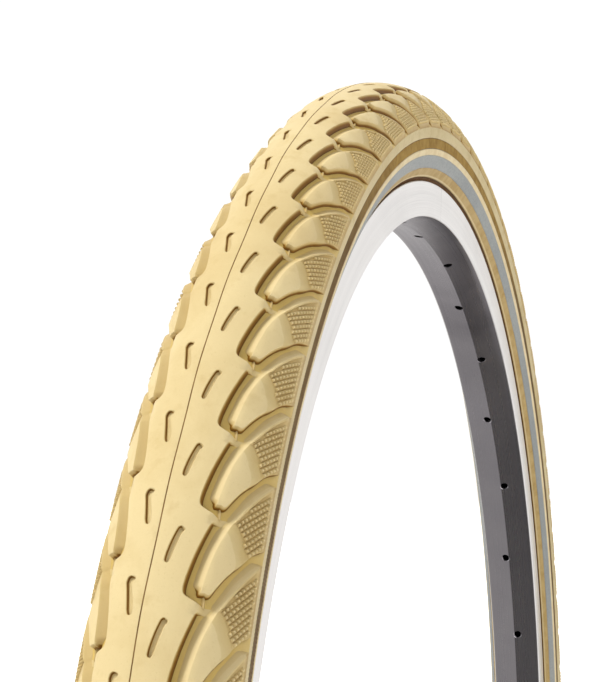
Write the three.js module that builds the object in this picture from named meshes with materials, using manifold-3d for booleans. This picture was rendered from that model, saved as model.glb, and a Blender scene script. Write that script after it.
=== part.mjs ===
// A 47-622 (28 x 1.75) bicycle tyre with its inner tube, valve and double-wall aluminium rim.
// Frame: millimetres, origin at the wheel's centre, axle along Y, +Z up. The valve is at the
// bottom of the wheel and points up at the hub. The +Y side is called right.
// Rings are turned about the axle from closed outlines of [radius, axial] points.
import * as THREE from 'three';
import * as BufferGeometryUtils from 'three/addons/utils/BufferGeometryUtils.js';
import Module from 'manifold-3d';

const wasm = await Module();
wasm.setup();

// ---- driving dimensions ----------------------------------------------------------------------
const DEG = Math.PI / 180;
const RING_SEGMENTS = 36;        // flats round the wheel, one centred on the ground contact
const VALVE_SIDES = 12;          // flats on the small turned parts and the valve's holes
const VALVE_ANGLE = -90;         // degrees from +X towards +Z

const TREAD_RADIUS = 716.3 / 2;
const SECTION_RADIUS = 47.4 / 2 + 0.02;                // of the inflated tyre section
const SECTION_CENTRE = TREAD_RADIUS - SECTION_RADIUS;  // distance from the axle

const BEAD_SEAT = 622 / 2;
const FLANGE_RADIUS = 317.0;     // outer edge of the rim flange's side
const RIM_HALF_WIDTH = 16.09;    // at the flange
const RIM_INSIDE_HALF = 27 / 2;  // between the flanges
const RIM_HUB_HALF_WIDTH = 13.84;
const BRAKE_TRACK_END = 302.19;  // radius where the brake track meets the spoke face
const RIM_RIDGE = 299.52;        // radius of the ridge of the V-shaped spoke face
const CAVITY_RIDGE = 301.9;      // the same ridge inside the hollow

// ---- outlines --------------------------------------------------------------------------------
const mirrored = (outline, side) => outline.map(([radius, y]) => [radius, y * side]);

// A right half followed by its mirror image, traced back.
const withMirror = (half) => [...half, ...mirrored(half, -1).reverse()];

// A wall across both sides, from the right halves of its outer and inner faces.
const symmetricWall = (outer, inner) => withMirror([...outer, ...[...inner].reverse()]);

const onSection = (degrees, radius = SECTION_RADIUS) => [
  SECTION_CENTRE + radius * Math.cos(degrees * DEG),
  radius * Math.sin(degrees * DEG),
];

function regularPolygon(sides, radius, [centreX, centreY] = [0, 0]) {
  return Array.from({ length: sides }, (_, k) => {
    const angle = 2 * Math.PI * k / sides;
    return [centreX + radius * Math.cos(angle), centreY + radius * Math.sin(angle)];
  });
}

const vectors = (points) => points.map(([x, y]) => new THREE.Vector2(x, y));

// ---- solids ----------------------------------------------------------------------------------
// Positions only, with shared vertices welded.
function welded(geometry) {
  const bare = geometry.clone();
  bare.deleteAttribute('normal');
  bare.deleteAttribute('uv');
  return BufferGeometryUtils.mergeVertices(bare, 1e-5);
}

// Welds a closed surface and turns its faces outward, judged by the sign of its volume.
function outward(geometry) {
  const result = welded(geometry);
  const { position } = result.attributes;
  const index = result.index.array;
  const corners = [new THREE.Vector3(), new THREE.Vector3(), new THREE.Vector3()];
  let volume = 0;
  for (let k = 0; k < index.length; k += 3) {
    corners.forEach((corner, n) => corner.fromBufferAttribute(position, index[k + n]));
    volume += corners[0].dot(corners[1].cross(corners[2]));
  }
  if (volume < 0) {
    for (let k = 0; k < index.length; k += 3) {
      [index[k], index[k + 1]] = [index[k + 1], index[k]];
    }
  }
  return result;
}

// Turned about the axle. Radii are opened out so that each flat's middle stands at its radius.
function ring(outline) {
  const halfFlat = Math.PI / RING_SEGMENTS;
  const points = vectors(outline.map(([radius, y]) => [radius / Math.cos(halfFlat), y]));
  points.push(points[0].clone());
  return outward(new THREE.LatheGeometry(points, RING_SEGMENTS, halfFlat, 2 * Math.PI));
}

// Turned about the valve's axis from [radius, z] points. An outline that starts and ends on
// the axis is left open; any other is closed.
function turned(outline, sides = VALVE_SIDES) {
  const points = vectors(outline);
  if (points[0].x > 0 || points.at(-1).x > 0) points.push(points[0].clone());
  return outward(new THREE.LatheGeometry(points, sides, 0, 2 * Math.PI).rotateX(Math.PI / 2));
}

// A radial cylinder between two distances from the axle; at the valve unless placed elsewhere.
function drill({ radius, from, to, angle = VALVE_ANGLE, y = 0, sides = VALVE_SIDES }) {
  const middle = (from + to) / 2;
  return new THREE.CylinderGeometry(radius, radius, to - from, sides)
    .rotateZ(-Math.PI / 2)
    .rotateY(-angle * DEG)
    .translate(middle * Math.cos(angle * DEG), y, middle * Math.sin(angle * DEG));
}

function manifoldOf(geometry) {
  const source = welded(geometry);
  return new wasm.Manifold(new wasm.Mesh({
    numProp: 3,
    vertProperties: new Float32Array(source.attributes.position.array),
    triVerts: new Uint32Array(source.index.array),
  }));
}

function cut(geometry, tools) {
  let body = manifoldOf(geometry);
  for (const tool of tools) body = body.subtract(manifoldOf(tool));
  const { vertProperties, triVerts } = body.getMesh();
  const result = new THREE.BufferGeometry();
  result.setAttribute('position', new THREE.BufferAttribute(vertProperties.slice(), 3));
  result.setIndex(new THREE.BufferAttribute(new Uint32Array(triVerts), 1));
  return result;
}

// ---- materials and parts ---------------------------------------------------------------------
const FINISHES = {
  tread: { color: 0xd9c59a, roughness: 0.62, metalness: 0.0 },
  sidewall: { color: 0xc9b084, roughness: 0.6, metalness: 0.0 },
  stripe: { color: 0xa3a7a4, roughness: 0.45, metalness: 0.1 },
  cord: { color: 0x6b5a44, roughness: 0.85, metalness: 0.0 },
  chafer: { color: 0x4a3a2a, roughness: 0.85, metalness: 0.0 },
  steel: { color: 0x8d8f92, roughness: 0.35, metalness: 1.0 },
  tube: { color: 0x1c1c1e, roughness: 0.7, metalness: 0.0 },
  rim: { color: 0xc4c6ca, roughness: 0.28, metalness: 1.0 },
  tape: { color: 0x9b2f2a, roughness: 0.8, metalness: 0.0 },
  brass: { color: 0xb99a55, roughness: 0.35, metalness: 1.0 },
  nickel: { color: 0xbdbab2, roughness: 0.3, metalness: 1.0 },
  seal: { color: 0x202022, roughness: 0.6, metalness: 0.0 },
  cap: { color: 0x18181a, roughness: 0.45, metalness: 0.0 },
};

const wheel = new THREE.Group();

function part(name, finish, geometry) {
  geometry.computeVertexNormals();
  const mesh = new THREE.Mesh(geometry, new THREE.MeshStandardMaterial(FINISHES[finish]));
  mesh.name = name;
  wheel.add(mesh);
}

// ---- tyre: right halves, [radius, axial] -----------------------------------------------------
// Tread rubber: flat at the crown, round at the shoulders, tapering out at the widest point.
const TREAD_OUTER = [[TREAD_RADIUS, 4.1], onSection(38), onSection(65), onSection(87)];
const TREAD_INNER = [[353.3, 3.0], [348.9, 13.05], onSection(87, 22.2)];
part('tread', 'tread', ring(symmetricWall(TREAD_OUTER, TREAD_INNER)));

// Breaker: a narrow cord strip under the crown.
const BREAKER_OUTER = [[353.15, 2.9], [349.4, 11.6]];
const BREAKER_INNER = [[352.6, 2.8], [348.95, 11.2]];
part('breaker_belt', 'cord', ring(symmetricWall(BREAKER_OUTER, BREAKER_INNER)));

// Casing: rubberised cords from bead to bead, turned up round each bead wire.
const CASING_OUTER = [
  [352.4, 2.7], [348.0, 12.6], [335.35, 22.0], [324.0, 16.8],
  [318.2, 12.7], [312.0, 12.6], [312.0, 8.6], [316.4, 8.6],
];
const CASING_INNER = [
  [351.3, 2.5], [346.9, 12.1], [335.2, 20.9], [324.6, 15.8],
  [317.9, 12.1], [312.6, 12.0], [312.6, 9.2], [316.4, 9.2],
];
part('casing', 'cord', ring(symmetricWall(CASING_OUTER, CASING_INNER)));

// Sidewall rubber from the tread's edge to just outside the rim flange: outer face, then inner.
const SIDEWALL = [
  [335.45, 23.65], [331.0, 23.3], [329.2, 21.15], [323.6, 18.2], [319.05, 16.3],
  [319.05, 13.55], [323.9, 17.0], [329.6, 20.0], [335.4, 22.3],
];
// Reflective band moulded on the sidewall.
const STRIPE = [[328.8, 21.45], [323.6, 18.7], [323.72, 18.42], [328.92, 21.17]];
// L-shaped strip that shields the bead from the rim.
const CHAFER_FOOT = BEAD_SEAT + 0.2;
const CHAFER = [
  [317.2, 13.3], [CHAFER_FOOT, 13.3], [CHAFER_FOOT, 8.3],
  [311.8, 8.3], [311.8, 12.8], [317.2, 12.8],
];
// Steel hoop inside the casing's turn-up.
const BEAD_WIRE_RADIUS = 1.28;
const BEAD_WIRE_CENTRE = [314.1, 10.6];
const BEAD_WIRE = regularPolygon(6, BEAD_WIRE_RADIUS, BEAD_WIRE_CENTRE);

for (const [side, sign] of [['right', 1], ['left', -1]]) {
  part(`sidewall_${side}`, 'sidewall', ring(mirrored(SIDEWALL, sign)));
  part(`reflective_stripe_${side}`, 'stripe', ring(mirrored(STRIPE, sign)));
  part(`chafer_${side}`, 'chafer', ring(mirrored(CHAFER, sign)));
  part(`bead_wire_${side}`, 'steel', ring(mirrored(BEAD_WIRE, sign)));
}

// ---- inner tube and rim tape: right halves, [radius, axial] ----------------------------------
const TUBE_OUTER = [
  [350.8, 2.4], [346.4, 11.8], [335.1, 20.3], [324.9, 15.1], [317.8, 8.5], [312.7, 5.0],
];
const TUBE_INNER = [
  [349.9, 2.0], [345.8, 11.1], [335.0, 19.3], [325.5, 14.5], [318.5, 7.9], [313.6, 4.6],
];
const TUBE_HOLE = { radius: 2.4, from: 311, to: 315.5, sides: 8 };
part('inner_tube', 'tube', cut(ring(withMirror(TUBE_OUTER)), [
  ring(withMirror(TUBE_INNER)),
  drill(TUBE_HOLE),
]));

const TAPE_HALF_WIDTH = 6.0;
const TAPE_OUTER = 309.75;
const TAPE_THICKNESS = 0.6;
const TAPE_HOLE = { radius: 4.7, from: 305, to: 314 };
const tape = ring(symmetricWall(
  [[TAPE_OUTER, TAPE_HALF_WIDTH]],
  [[TAPE_OUTER - TAPE_THICKNESS, TAPE_HALF_WIDTH]],
));
part('rim_tape', 'tape', cut(tape, [drill(TAPE_HOLE)]));

// ---- rim -------------------------------------------------------------------------------------
// Right halves without the ridge point, [radius, axial].
const RIM_HALF = [
  [BRAKE_TRACK_END, RIM_HUB_HALF_WIDTH], [FLANGE_RADIUS, RIM_HALF_WIDTH],
  [FLANGE_RADIUS + 0.3, 14.8], [316.5, RIM_INSIDE_HALF],
  [BEAD_SEAT, RIM_INSIDE_HALF], [BEAD_SEAT, 8.2], [309.0, 6.4],
];
const CAVITY_HALF = [[303.9, 11.7], [309.3, 12.4], [307.4, 7.0]];

const SPOKE_COUNT = 36;
const SPOKE_PITCH = 360 / SPOKE_COUNT;
const SPOKE_STAGGER = 1.93;      // holes stand alternately right and left of the ridge
const SPOKE_HOLE = { radius: 2.15, from: 296, to: 304.6, sides: 8 };
// Larger holes in the tyre-side wall, under the rim tape.
const NIPPLE_ACCESS = { radius: 4.2, from: 305.2, to: 312, sides: 6 };
const VALVE_HOLE = { radius: 4.35, from: 296, to: 313 };

function spokeDrills() {
  const drills = [];
  for (let k = 0; k < SPOKE_COUNT; k++) {
    const place = {
      angle: (k + 0.5) * SPOKE_PITCH,
      y: k % 2 ? -SPOKE_STAGGER : SPOKE_STAGGER,
    };
    drills.push(drill({ ...SPOKE_HOLE, ...place }), drill({ ...NIPPLE_ACCESS, ...place }));
  }
  return drills;
}

part('rim', 'rim', cut(ring([[RIM_RIDGE, 0], ...withMirror(RIM_HALF)]), [
  ring([[CAVITY_RIDGE, 0], ...withMirror(CAVITY_HALF)]),
  ...spokeDrills(),
  drill(VALVE_HOLE),
]));

// Straight sleeve that joins the rim extrusion's ends, inside the hollow, opposite the valve.
const SLEEVE_LENGTH = 36;
const SLEEVE_RIDGE = 302.4;
const SLEEVE_HALF = [[304.35, 10.9], [308.1, 11.3], [306.95, 6.8]];  // [radius, axial]

function jointSleeve() {
  const outline = [[SLEEVE_RIDGE, 0], ...withMirror(SLEEVE_HALF)];
  const shape = new THREE.Shape(vectors(outline.map(([radius, y]) => [y, radius])));
  const sleeve = new THREE.ExtrudeGeometry(shape, {
    depth: SLEEVE_LENGTH, bevelEnabled: false, steps: 1,
  });
  // The shape's x becomes Y, its y becomes Z, and the extrusion runs along X.
  sleeve.applyMatrix4(new THREE.Matrix4().makeBasis(
    new THREE.Vector3(0, 1, 0), new THREE.Vector3(0, 0, 1), new THREE.Vector3(1, 0, 0),
  ));
  return outward(sleeve.translate(-SLEEVE_LENGTH / 2, 0, 0));
}
part('rim_joint_sleeve', 'steel', jointSleeve());

// ---- valve: outlines are [radius, z] ---------------------------------------------------------
const STEM_RADIUS = 7.7 / 2;     // 8V1 thread, modelled plain
const STEM_BASE = -312.35;
const STEM_TIP = -273.7;
const STEM_FLANGE_TOP = -311.5;

// Rubber base bonded to the tube, with a pocket for the stem's flange.
part('valve_pad', 'tube', turned([
  [7.0, -312.45], [7.0, -310.9], [5.9, -310.1], [4.1, -310.1],
  [4.1, -311.3], [5.9, -311.3], [5.9, -312.45],
]));

// Stem: the upper bore takes the core, the narrower lower bore leads into the tube.
part('valve_stem', 'brass', turned([
  [5.6, STEM_BASE], [5.6, STEM_FLANGE_TOP], [STEM_RADIUS, STEM_FLANGE_TOP],
  [STEM_RADIUS, STEM_TIP], [2.85, STEM_TIP], [2.85, -292.6], [1.9, -293.4], [1.9, STEM_BASE],
]));

// Core body: outside from the top down, then the bore from the bottom up.
const CORE_TOP = -274.6;
const CORE_BOTTOM = -288.6;
const CORE_FLOOR = -288.0;       // ledge inside that the spring stands on
part('valve_core_body', 'brass', turned([
  [2.65, CORE_TOP], [2.65, -279.4], [2.05, -279.4], [2.05, -283.2],
  [2.3, -283.2], [2.3, CORE_BOTTOM], [1.0, CORE_BOTTOM], [1.0, CORE_FLOOR],
  [1.65, CORE_FLOOR], [1.65, -281.0], [0.95, -281.0], [0.95, CORE_TOP],
]));

part('valve_core_gasket', 'seal', turned([
  [2.65, -279.6], [2.4, -283.0], [2.15, -283.0], [2.15, -279.6],
]));

// Return spring between the pin's collar and the floor of the core body.
const SPRING = {
  turns: 5, coilRadius: 1.18, base: CORE_FLOOR + 0.25, height: 5.45,
  wireRadius: 0.17, wireSides: 5, steps: 60,
};

class SpringPath extends THREE.Curve {
  getPoint(t, target = new THREE.Vector3()) {
    const angle = 2 * Math.PI * SPRING.turns * t;
    return target.set(
      SPRING.coilRadius * Math.cos(angle),
      SPRING.coilRadius * Math.sin(angle),
      SPRING.base + SPRING.height * t,
    );
  }
}

function coreSpring() {
  const wire = new THREE.Shape(vectors(regularPolygon(SPRING.wireSides, SPRING.wireRadius)));
  return outward(new THREE.ExtrudeGeometry(wire, {
    steps: SPRING.steps, bevelEnabled: false, extrudePath: new SpringPath(),
  }));
}
part('valve_core_spring', 'steel', coreSpring());

// Pin: pressed towards the tube it carries the seal off the core body's lower face.
const PIN_RADIUS = 0.66;
part('valve_core_pin', 'brass', turned([
  [0, -290.9], [1.3, -290.9], [1.3, -290.35], [PIN_RADIUS, -290.35],
  [PIN_RADIUS, -282.0], [1.5, -282.0], [1.5, -281.4], [PIN_RADIUS, -281.4],
  [PIN_RADIUS, -273.9], [0, -273.9],
]));
part('valve_core_seal', 'seal', turned([
  [2.1, -288.75], [1.95, -290.2], [0.8, -290.2], [0.8, -288.75],
]));

// Cap and the seal disc inside it.
const CAP_SIDES = 16;
part('valve_cap_seal', 'seal', turned([
  [0, -273.55], [3.7, -273.55], [3.7, -273.0], [0, -273.0],
]));
part('valve_cap', 'cap', turned([
  [4.2, -282.2], [4.2, -272.7], [0, -272.7], [0, -271.2],
  [4.7, -271.2], [5.4, -272.6], [5.4, -282.2],
], CAP_SIDES));

// Washer and hexagonal nut that hold the stem to the rim.
const NUT_BORE = 4.2;            // radius, shared by the washer
part('rim_washer', 'nickel', turned([
  [6.2, -299.2], [6.2, -298.5], [NUT_BORE, -298.5], [NUT_BORE, -299.2],
]));
const nutBlank = turned([
  [0, -298.2], [6.9, -298.2], [6.9, -294.9], [6.2, -294.5], [0, -294.5],
], 6);
const nutBore = turned([[0, -299], [NUT_BORE, -299], [NUT_BORE, -293], [0, -293]]);
part('rim_nut', 'nickel', cut(nutBlank, [nutBore]));

export default wheel;
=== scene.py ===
# Looks for the 47-622 bicycle tire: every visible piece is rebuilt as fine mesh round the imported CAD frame.
import bpy, bmesh, math
import numpy as np
from mathutils import Vector, Matrix
from mathutils.geometry import delaunay_2d_cdt


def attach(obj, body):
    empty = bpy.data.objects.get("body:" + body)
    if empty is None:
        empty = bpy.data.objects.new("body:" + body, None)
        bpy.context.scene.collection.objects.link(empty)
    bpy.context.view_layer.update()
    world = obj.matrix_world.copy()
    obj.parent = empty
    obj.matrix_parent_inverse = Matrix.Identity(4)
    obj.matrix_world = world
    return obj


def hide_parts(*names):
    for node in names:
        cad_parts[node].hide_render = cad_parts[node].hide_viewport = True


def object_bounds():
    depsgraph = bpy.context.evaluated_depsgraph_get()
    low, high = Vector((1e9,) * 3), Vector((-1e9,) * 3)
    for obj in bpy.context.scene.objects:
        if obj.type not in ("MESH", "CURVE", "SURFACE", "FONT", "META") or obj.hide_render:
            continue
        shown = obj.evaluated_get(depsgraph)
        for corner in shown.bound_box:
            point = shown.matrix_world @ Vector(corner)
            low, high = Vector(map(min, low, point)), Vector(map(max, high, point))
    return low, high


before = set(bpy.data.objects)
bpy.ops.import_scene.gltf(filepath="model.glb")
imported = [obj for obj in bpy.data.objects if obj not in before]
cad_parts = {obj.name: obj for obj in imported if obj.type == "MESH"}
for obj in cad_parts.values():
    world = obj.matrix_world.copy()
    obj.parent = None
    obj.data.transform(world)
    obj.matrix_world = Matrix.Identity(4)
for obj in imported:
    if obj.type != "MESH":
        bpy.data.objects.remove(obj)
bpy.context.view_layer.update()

# ---------------------------------------------------------------- dimensions (mm)
RC, A = 334.43, 23.72            # tyre section: centre radius and radius
PITCHES = 90                     # tread pitches round the wheel
PV = 25.0                        # length given to one pitch in the layout below
FLOOR = -2.05                    # groove floor, measured from the tread surface
TAU = 2 * math.pi

# ---------------------------------------------------------------- mesh helpers
def add_mesh(name, verts_mm, tris, attrs=None, smooth_angle=None, merge=None, quads=None):
    """verts in mm; tris and quads are integer arrays"""
    v = np.asarray(verts_mm, np.float64) / 1000.0
    me = bpy.data.meshes.new(name)
    faces = []
    if tris is not None and len(tris): faces.append(np.asarray(tris, np.int32))
    if quads is not None and len(quads): faces.append(np.asarray(quads, np.int32))
    me.vertices.add(len(v))
    me.vertices.foreach_set("co", v.astype(np.float32).ravel())
    loops = np.concatenate([f.ravel() for f in faces])
    starts, base = [], 0
    for f in faces:
        starts.append(np.arange(len(f), dtype=np.int32) * f.shape[1] + base)
        base += f.size
    starts = np.concatenate(starts)
    me.loops.add(len(loops))
    me.loops.foreach_set("vertex_index", loops)
    me.polygons.add(len(starts))
    me.polygons.foreach_set("loop_start", starts)
    me.update(calc_edges=True)
    me.validate(verbose=False)
    for k, a in (attrs or {}).items():
        at = me.attributes.new(k, "FLOAT", "POINT")
        at.data.foreach_set("value", np.asarray(a, np.float32))
    if merge:
        bm = bmesh.new(); bm.from_mesh(me)
        bmesh.ops.remove_doubles(bm, verts=bm.verts, dist=merge / 1000.0)
        bm.to_mesh(me); bm.free()
    if smooth_angle is None:
        me.polygons.foreach_set("use_smooth", np.zeros(len(me.polygons), bool))
    else:
        me.polygons.foreach_set("use_smooth", np.ones(len(me.polygons), bool))
        me.set_sharp_from_angle(angle=math.radians(smooth_angle))
    me.update()
    ob = bpy.data.objects.new(name, me)
    bpy.context.scene.collection.objects.link(ob)
    return ob

def reach(s):
    """layout s to distance along the section: the outer part of the shoulder is a little longer than laid out"""
    a = np.abs(s)
    return np.sign(s) * np.where(a < 22, a, 22 + (a - 22) * 1.25)

def wrap(s, v, h):
    """layout (s across from the crown, v round the wheel, h above the tread circle) to mm"""
    s, v, h = np.broadcast_arrays(np.asarray(s, float), np.asarray(v, float), np.asarray(h, float))
    phi = reach(s) / A
    rho = A + h
    r = RC + rho * np.cos(phi)
    y = rho * np.sin(phi)
    th = v / PV * (TAU / PITCHES)
    return np.stack([r * np.cos(th), y, r * np.sin(th)], -1)

def ring_mesh(name, profile, n, closed=True, smooth_angle=40, attrs=False, offset=0.0, wobble=None):
    """profile: list of (r, y) in mm, turned round the axle; faces point to the left of the profile's direction"""
    P = np.asarray(profile, float); m = len(P)
    th = (np.arange(n) + offset) / n * TAU
    r = np.repeat(P[None, :, 0], n, 0); y = np.repeat(P[None, :, 1], n, 0)
    if wobble is not None: r, y = wobble(th[:, None], r, y)
    V = np.stack([r * np.cos(th)[:, None], y, r * np.sin(th)[:, None]], -1).reshape(-1, 3)
    k = np.arange(m if closed else m - 1); j = np.arange(n)
    a = (j[:, None] * m + k[None]).ravel(); b = (j[:, None] * m + (k[None] + 1) % m).ravel()
    j2 = (j + 1) % n
    c = (j2[:, None] * m + (k[None] + 1) % m).ravel(); d = (j2[:, None] * m + k[None]).ravel()
    Q = np.stack([a, b, c, d], 1)
    ob = add_mesh(name, V, None, quads=Q, smooth_angle=smooth_angle)
    fix_normals(ob)
    return ob

def fix_normals(ob):
    """closed bodies only: turn the faces outward by the sign of the volume"""
    me = ob.data
    n = len(me.vertices); co = np.zeros(n * 3, np.float32); me.vertices.foreach_get("co", co); co = co.reshape(-1, 3).astype(float)
    me.calc_loop_triangles()
    t = np.zeros(len(me.loop_triangles) * 3, np.int32); me.loop_triangles.foreach_get("vertices", t); t = t.reshape(-1, 3)
    vol = np.einsum("ij,ij->i", co[t[:, 0]], np.cross(co[t[:, 1]], co[t[:, 2]])).sum()
    if vol < 0: me.flip_normals()

def densify(pts, step, closed=True):
    pts = [np.array(p, float) for p in pts]; out = []
    rng = range(len(pts)) if closed else range(len(pts) - 1)
    for i in rng:
        a, b = pts[i], pts[(i + 1) % len(pts)]
        n = max(1, int(math.ceil(np.linalg.norm(b - a) / step - 1e-6)))
        for k in range(n): out.append(a + (b - a) * k / n)
    if not closed: out.append(pts[-1])
    return np.array(out)

def rounded(pts, closed=True, it=1):
    """corner cutting, to turn a listed outline into a smooth one"""
    P = np.array(pts, float)
    for _ in range(it):
        Q = []
        n = len(P)
        for i in range(n if closed else n - 1):
            a, b = P[i], P[(i + 1) % n]
            Q += [a * 0.75 + b * 0.25, a * 0.25 + b * 0.75]
        if not closed: Q = [P[0]] + Q + [P[-1]]
        P = np.array(Q)
    return P

def area(P):
    x, y = P[:, 0], P[:, 1]
    return 0.5 * np.sum(x * np.roll(y, -1) - np.roll(x, -1) * y)

def normals2(P, period=None):
    """outward normals of an anticlockwise outline (period None) or of a periodic polyline repeating by `period` in v"""
    if period is None:
        prev, nxt = np.roll(P, 1, 0), np.roll(P, -1, 0)
    else:
        prev = np.vstack([P[-2] - period, P[:-1]]); nxt = np.vstack([P[1:], P[1] + period])
    d1 = P - prev; d2 = nxt - P
    d1 /= np.linalg.norm(d1, axis=1)[:, None] + 1e-12; d2 /= np.linalg.norm(d2, axis=1)[:, None] + 1e-12
    n1 = np.stack([d1[:, 1], -d1[:, 0]], 1); n2 = np.stack([d2[:, 1], -d2[:, 0]], 1)
    n = n1 + n2; L = np.linalg.norm(n, axis=1)
    n /= L[:, None] + 1e-12
    k = 1.0 / np.clip(np.einsum("ij,ij->i", n, n1), 0.6, 1.0)
    return n * k[:, None]

def inside(P, Q):
    """which points Q lie in polygon P"""
    x, y = Q[:, 0], Q[:, 1]; c = np.zeros(len(Q), bool)
    for i in range(len(P)):
        x1, y1 = P[i]; x2, y2 = P[(i + 1) % len(P)]
        if y1 == y2: continue
        m = (y1 > y) != (y2 > y)
        c ^= m & (x < (x2 - x1) * (y - y1) / (y2 - y1) + x1)
    return c

def edge_dist(P, Q, closed=True):
    """distance of points Q from the polyline P"""
    A_ = P; B_ = np.roll(P, -1, 0)
    if not closed: A_, B_ = P[:-1], P[1:]
    d = np.full(len(Q), 1e9)
    for a, b in zip(A_, B_):
        ab = b - a; t = np.clip(((Q - a) @ ab) / (ab @ ab + 1e-12), 0, 1)
        d = np.minimum(d, np.linalg.norm(Q - (a + t[:, None] * ab), axis=1))
    return d

def triangulate(outline, holes=(), grid=1.8, lines=(), clear=0.35, extra=None):
    """CDT of outline less holes, with interior points. The outline's and holes' points come first, in order."""
    loops = [outline] + list(holes)
    pts = np.vstack(loops); edges = []; base = 0
    for L in loops:
        n = len(L); edges += [(base + i, base + (i + 1) % n) for i in range(n)]; base += n
    for L in lines:
        pts = np.vstack([pts, L]); edges += [(base + i, base + i + 1) for i in range(len(L) - 1)]; base += len(L)
    lo, hi = outline.min(0), outline.max(0)
    gx = np.arange(lo[0] + grid / 2, hi[0], grid); gy = np.arange(lo[1] + grid / 2, hi[1], grid * 1.3)
    G = np.array([(x, y + (0.5 * grid if i % 2 else 0)) for i, x in enumerate(gx) for y in gy]) if len(gx) and len(gy) else np.zeros((0, 2))
    if extra is not None: G = np.vstack([G, extra])
    if len(G):
        ok = inside(outline, G)
        for h in holes: ok &= ~inside(h, G)
        for L in loops: ok &= edge_dist(L, G) > clear * grid
        for L in lines: ok &= edge_dist(L, G, False) > clear * grid
        pts = np.vstack([pts, G[ok]])
    r = delaunay_2d_cdt([Vector(p) for p in pts], edges, [], 0, 1e-7, True)
    V = np.array([(p[0], p[1]) for p in r[0]]); F = np.array([f for f in r[2] if len(f) == 3], int)
    c = V[F].mean(1)
    ok = inside(outline, c)
    for h in holes: ok &= ~inside(h, c)
    ok &= np.abs(np.cross(V[F[:, 1]] - V[F[:, 0]], V[F[:, 2]] - V[F[:, 0]])) > 2e-4
    F = F[ok]
    # anticlockwise
    ar = np.cross(V[F[:, 1]] - V[F[:, 0]], V[F[:, 2]] - V[F[:, 0]])
    F[ar < 0] = F[ar < 0][:, ::-1]
    # where each input point went
    where = np.full(len(pts), -1)
    for i, src in enumerate(r[3]):
        for q in src: where[q] = i
    return V, F, where

class Bag:
    """collects verts (s, v, h), triangles and quads in the layout"""
    def __init__(self): self.v = []; self.t = []; self.n = 0
    def add(self, V, F):
        self.v.append(np.asarray(V, float)); self.t.append(np.asarray(F, int) + self.n); self.n += len(V)
    def arrays(self):
        # a fourth column, the height whose tone a vert takes, is its own height unless given; the tone sets painted
        # shade and painted highlight in the tread's colour
        return np.vstack([v if v.shape[1] == 4 else np.column_stack([v, v[:, 2]]) for v in self.v]), np.vstack(self.t)

def strip(n, a, b, closed=True):
    """triangles between two rows of n verts starting at a and b"""
    i = np.arange(n if closed else n - 1); j = (i + 1) % n
    return np.vstack([np.stack([a + i, b + i, b + j], 1), np.stack([a + i, b + j, a + j], 1)])

def cap(bag, rings, hfun, grid):
    """closes a body underneath: rings are (points, index of the first vert) with the outline first"""
    V, F, where = triangulate(rings[0][0], [r[0] for r in rings[1:]], grid=grid)
    known = np.concatenate([np.asarray(r[1]) for r in rings])
    out = np.full(len(V), -1)
    for i, k in enumerate(known):
        if where[i] >= 0: out[where[i]] = k
    new = np.where(out < 0)[0]
    if len(new):
        out[new] = bag.n + np.arange(len(new))
        bag.v.append(np.column_stack([V[new], hfun(V[new])])); bag.n += len(new)
    bag.t.append(out[F][:, ::-1])

# ---------------------------------------------------------------- tread layout
# layout units: s = x / 19.2 - 17.583, v = (640 - y) / 19.2, so that 480 units of y is one pitch
def L(pts): return np.array([((x / 19.2) - 17.583, (640 - y) / 19.2) for x, y in pts], float)

def floor_h(s):
    t = np.clip((np.abs(s) - 28.3) / 2.2, 0, 1); t = t * t * (3 - 2 * t)
    return FLOOR + (-1.30 - FLOOR) * t

LEFT_V = 206 / 19.2
LEFT_S = ([0, 3.7, 5.8, 8.7, 13.0, 18.0, 28.4, 40], [0, 4.3, 6.4, 9.9, 14.0, 18.6, 28.5, 40.1])
def to_left(V):
    W = V.copy(); W[:, 0] = -np.interp(V[:, 0], *LEFT_S); W[:, 1] = V[:, 1] + LEFT_V
    return W

def crown_h(s, v):
    """tread surface of the crown: level, then ramping down along the bridge to the slanted groove"""
    t = np.clip((np.abs(s) - 12.2) / 3.6, 0, 1); t = t * t * (3 - 2 * t)
    return -2.0 * t

# edge of the crown, one period, running up the wheel (v rising): y from 1010 to 530
crown_edge = [(510, 1010), (515, 980), (530, 900), (550, 820), (570, 750), (583, 712), (594, 692),
              (606, 690), (636, 696), (668, 702), (700, 664), (694, 648), (668, 652), (640, 656), (600, 654), (566, 645), (538, 634), (518, 624), (507, 606),
              (505, 580), (507, 556), (510, 530)]
CE = L(crown_edge)
def periodic_cut(P, v0, step):
    """one period of a polyline that repeats by PV in v, cut at v0 (rising), evenly subdivided"""
    body = P[:-1]
    long = np.vstack([body + [0, PV * k] for k in (-2, -1, 0, 1, 2)])
    i = max(k for k in range(len(long) - 1) if long[k][1] <= v0 < long[k + 1][1] and abs(long[k][1] - v0) < PV)
    f = (v0 - long[i][1]) / (long[i + 1][1] - long[i][1]); start = long[i] * (1 - f) + long[i + 1] * f
    mid = long[i + 1:i + 1 + len(body)]
    return densify(np.vstack([start, mid, start + [0, PV]]), step, closed=False)

def rounded_open(P):
    body = P[:-1]; Q = []
    n = len(body)
    for i in range(n):
        a = body[i]; b = body[i + 1] if i + 1 < n else body[0] + [0, PV]
        Q += [a * 0.75 + b * 0.25, a * 0.25 + b * 0.75]
    Q = np.array(Q); return np.vstack([Q, Q[0] + [0, PV]])

CER = rounded_open(CE)
V0 = -18.6
right_edge = periodic_cut(CER, V0, 0.9)
CEL = CER.copy(); CEL[:, 1] += LEFT_V; CEL[:, 0] = np.interp(CEL[:, 0], *LEFT_S)
left_edge = periodic_cut(CEL, V0, 0.9); left_edge[:, 0] *= -1

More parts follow.
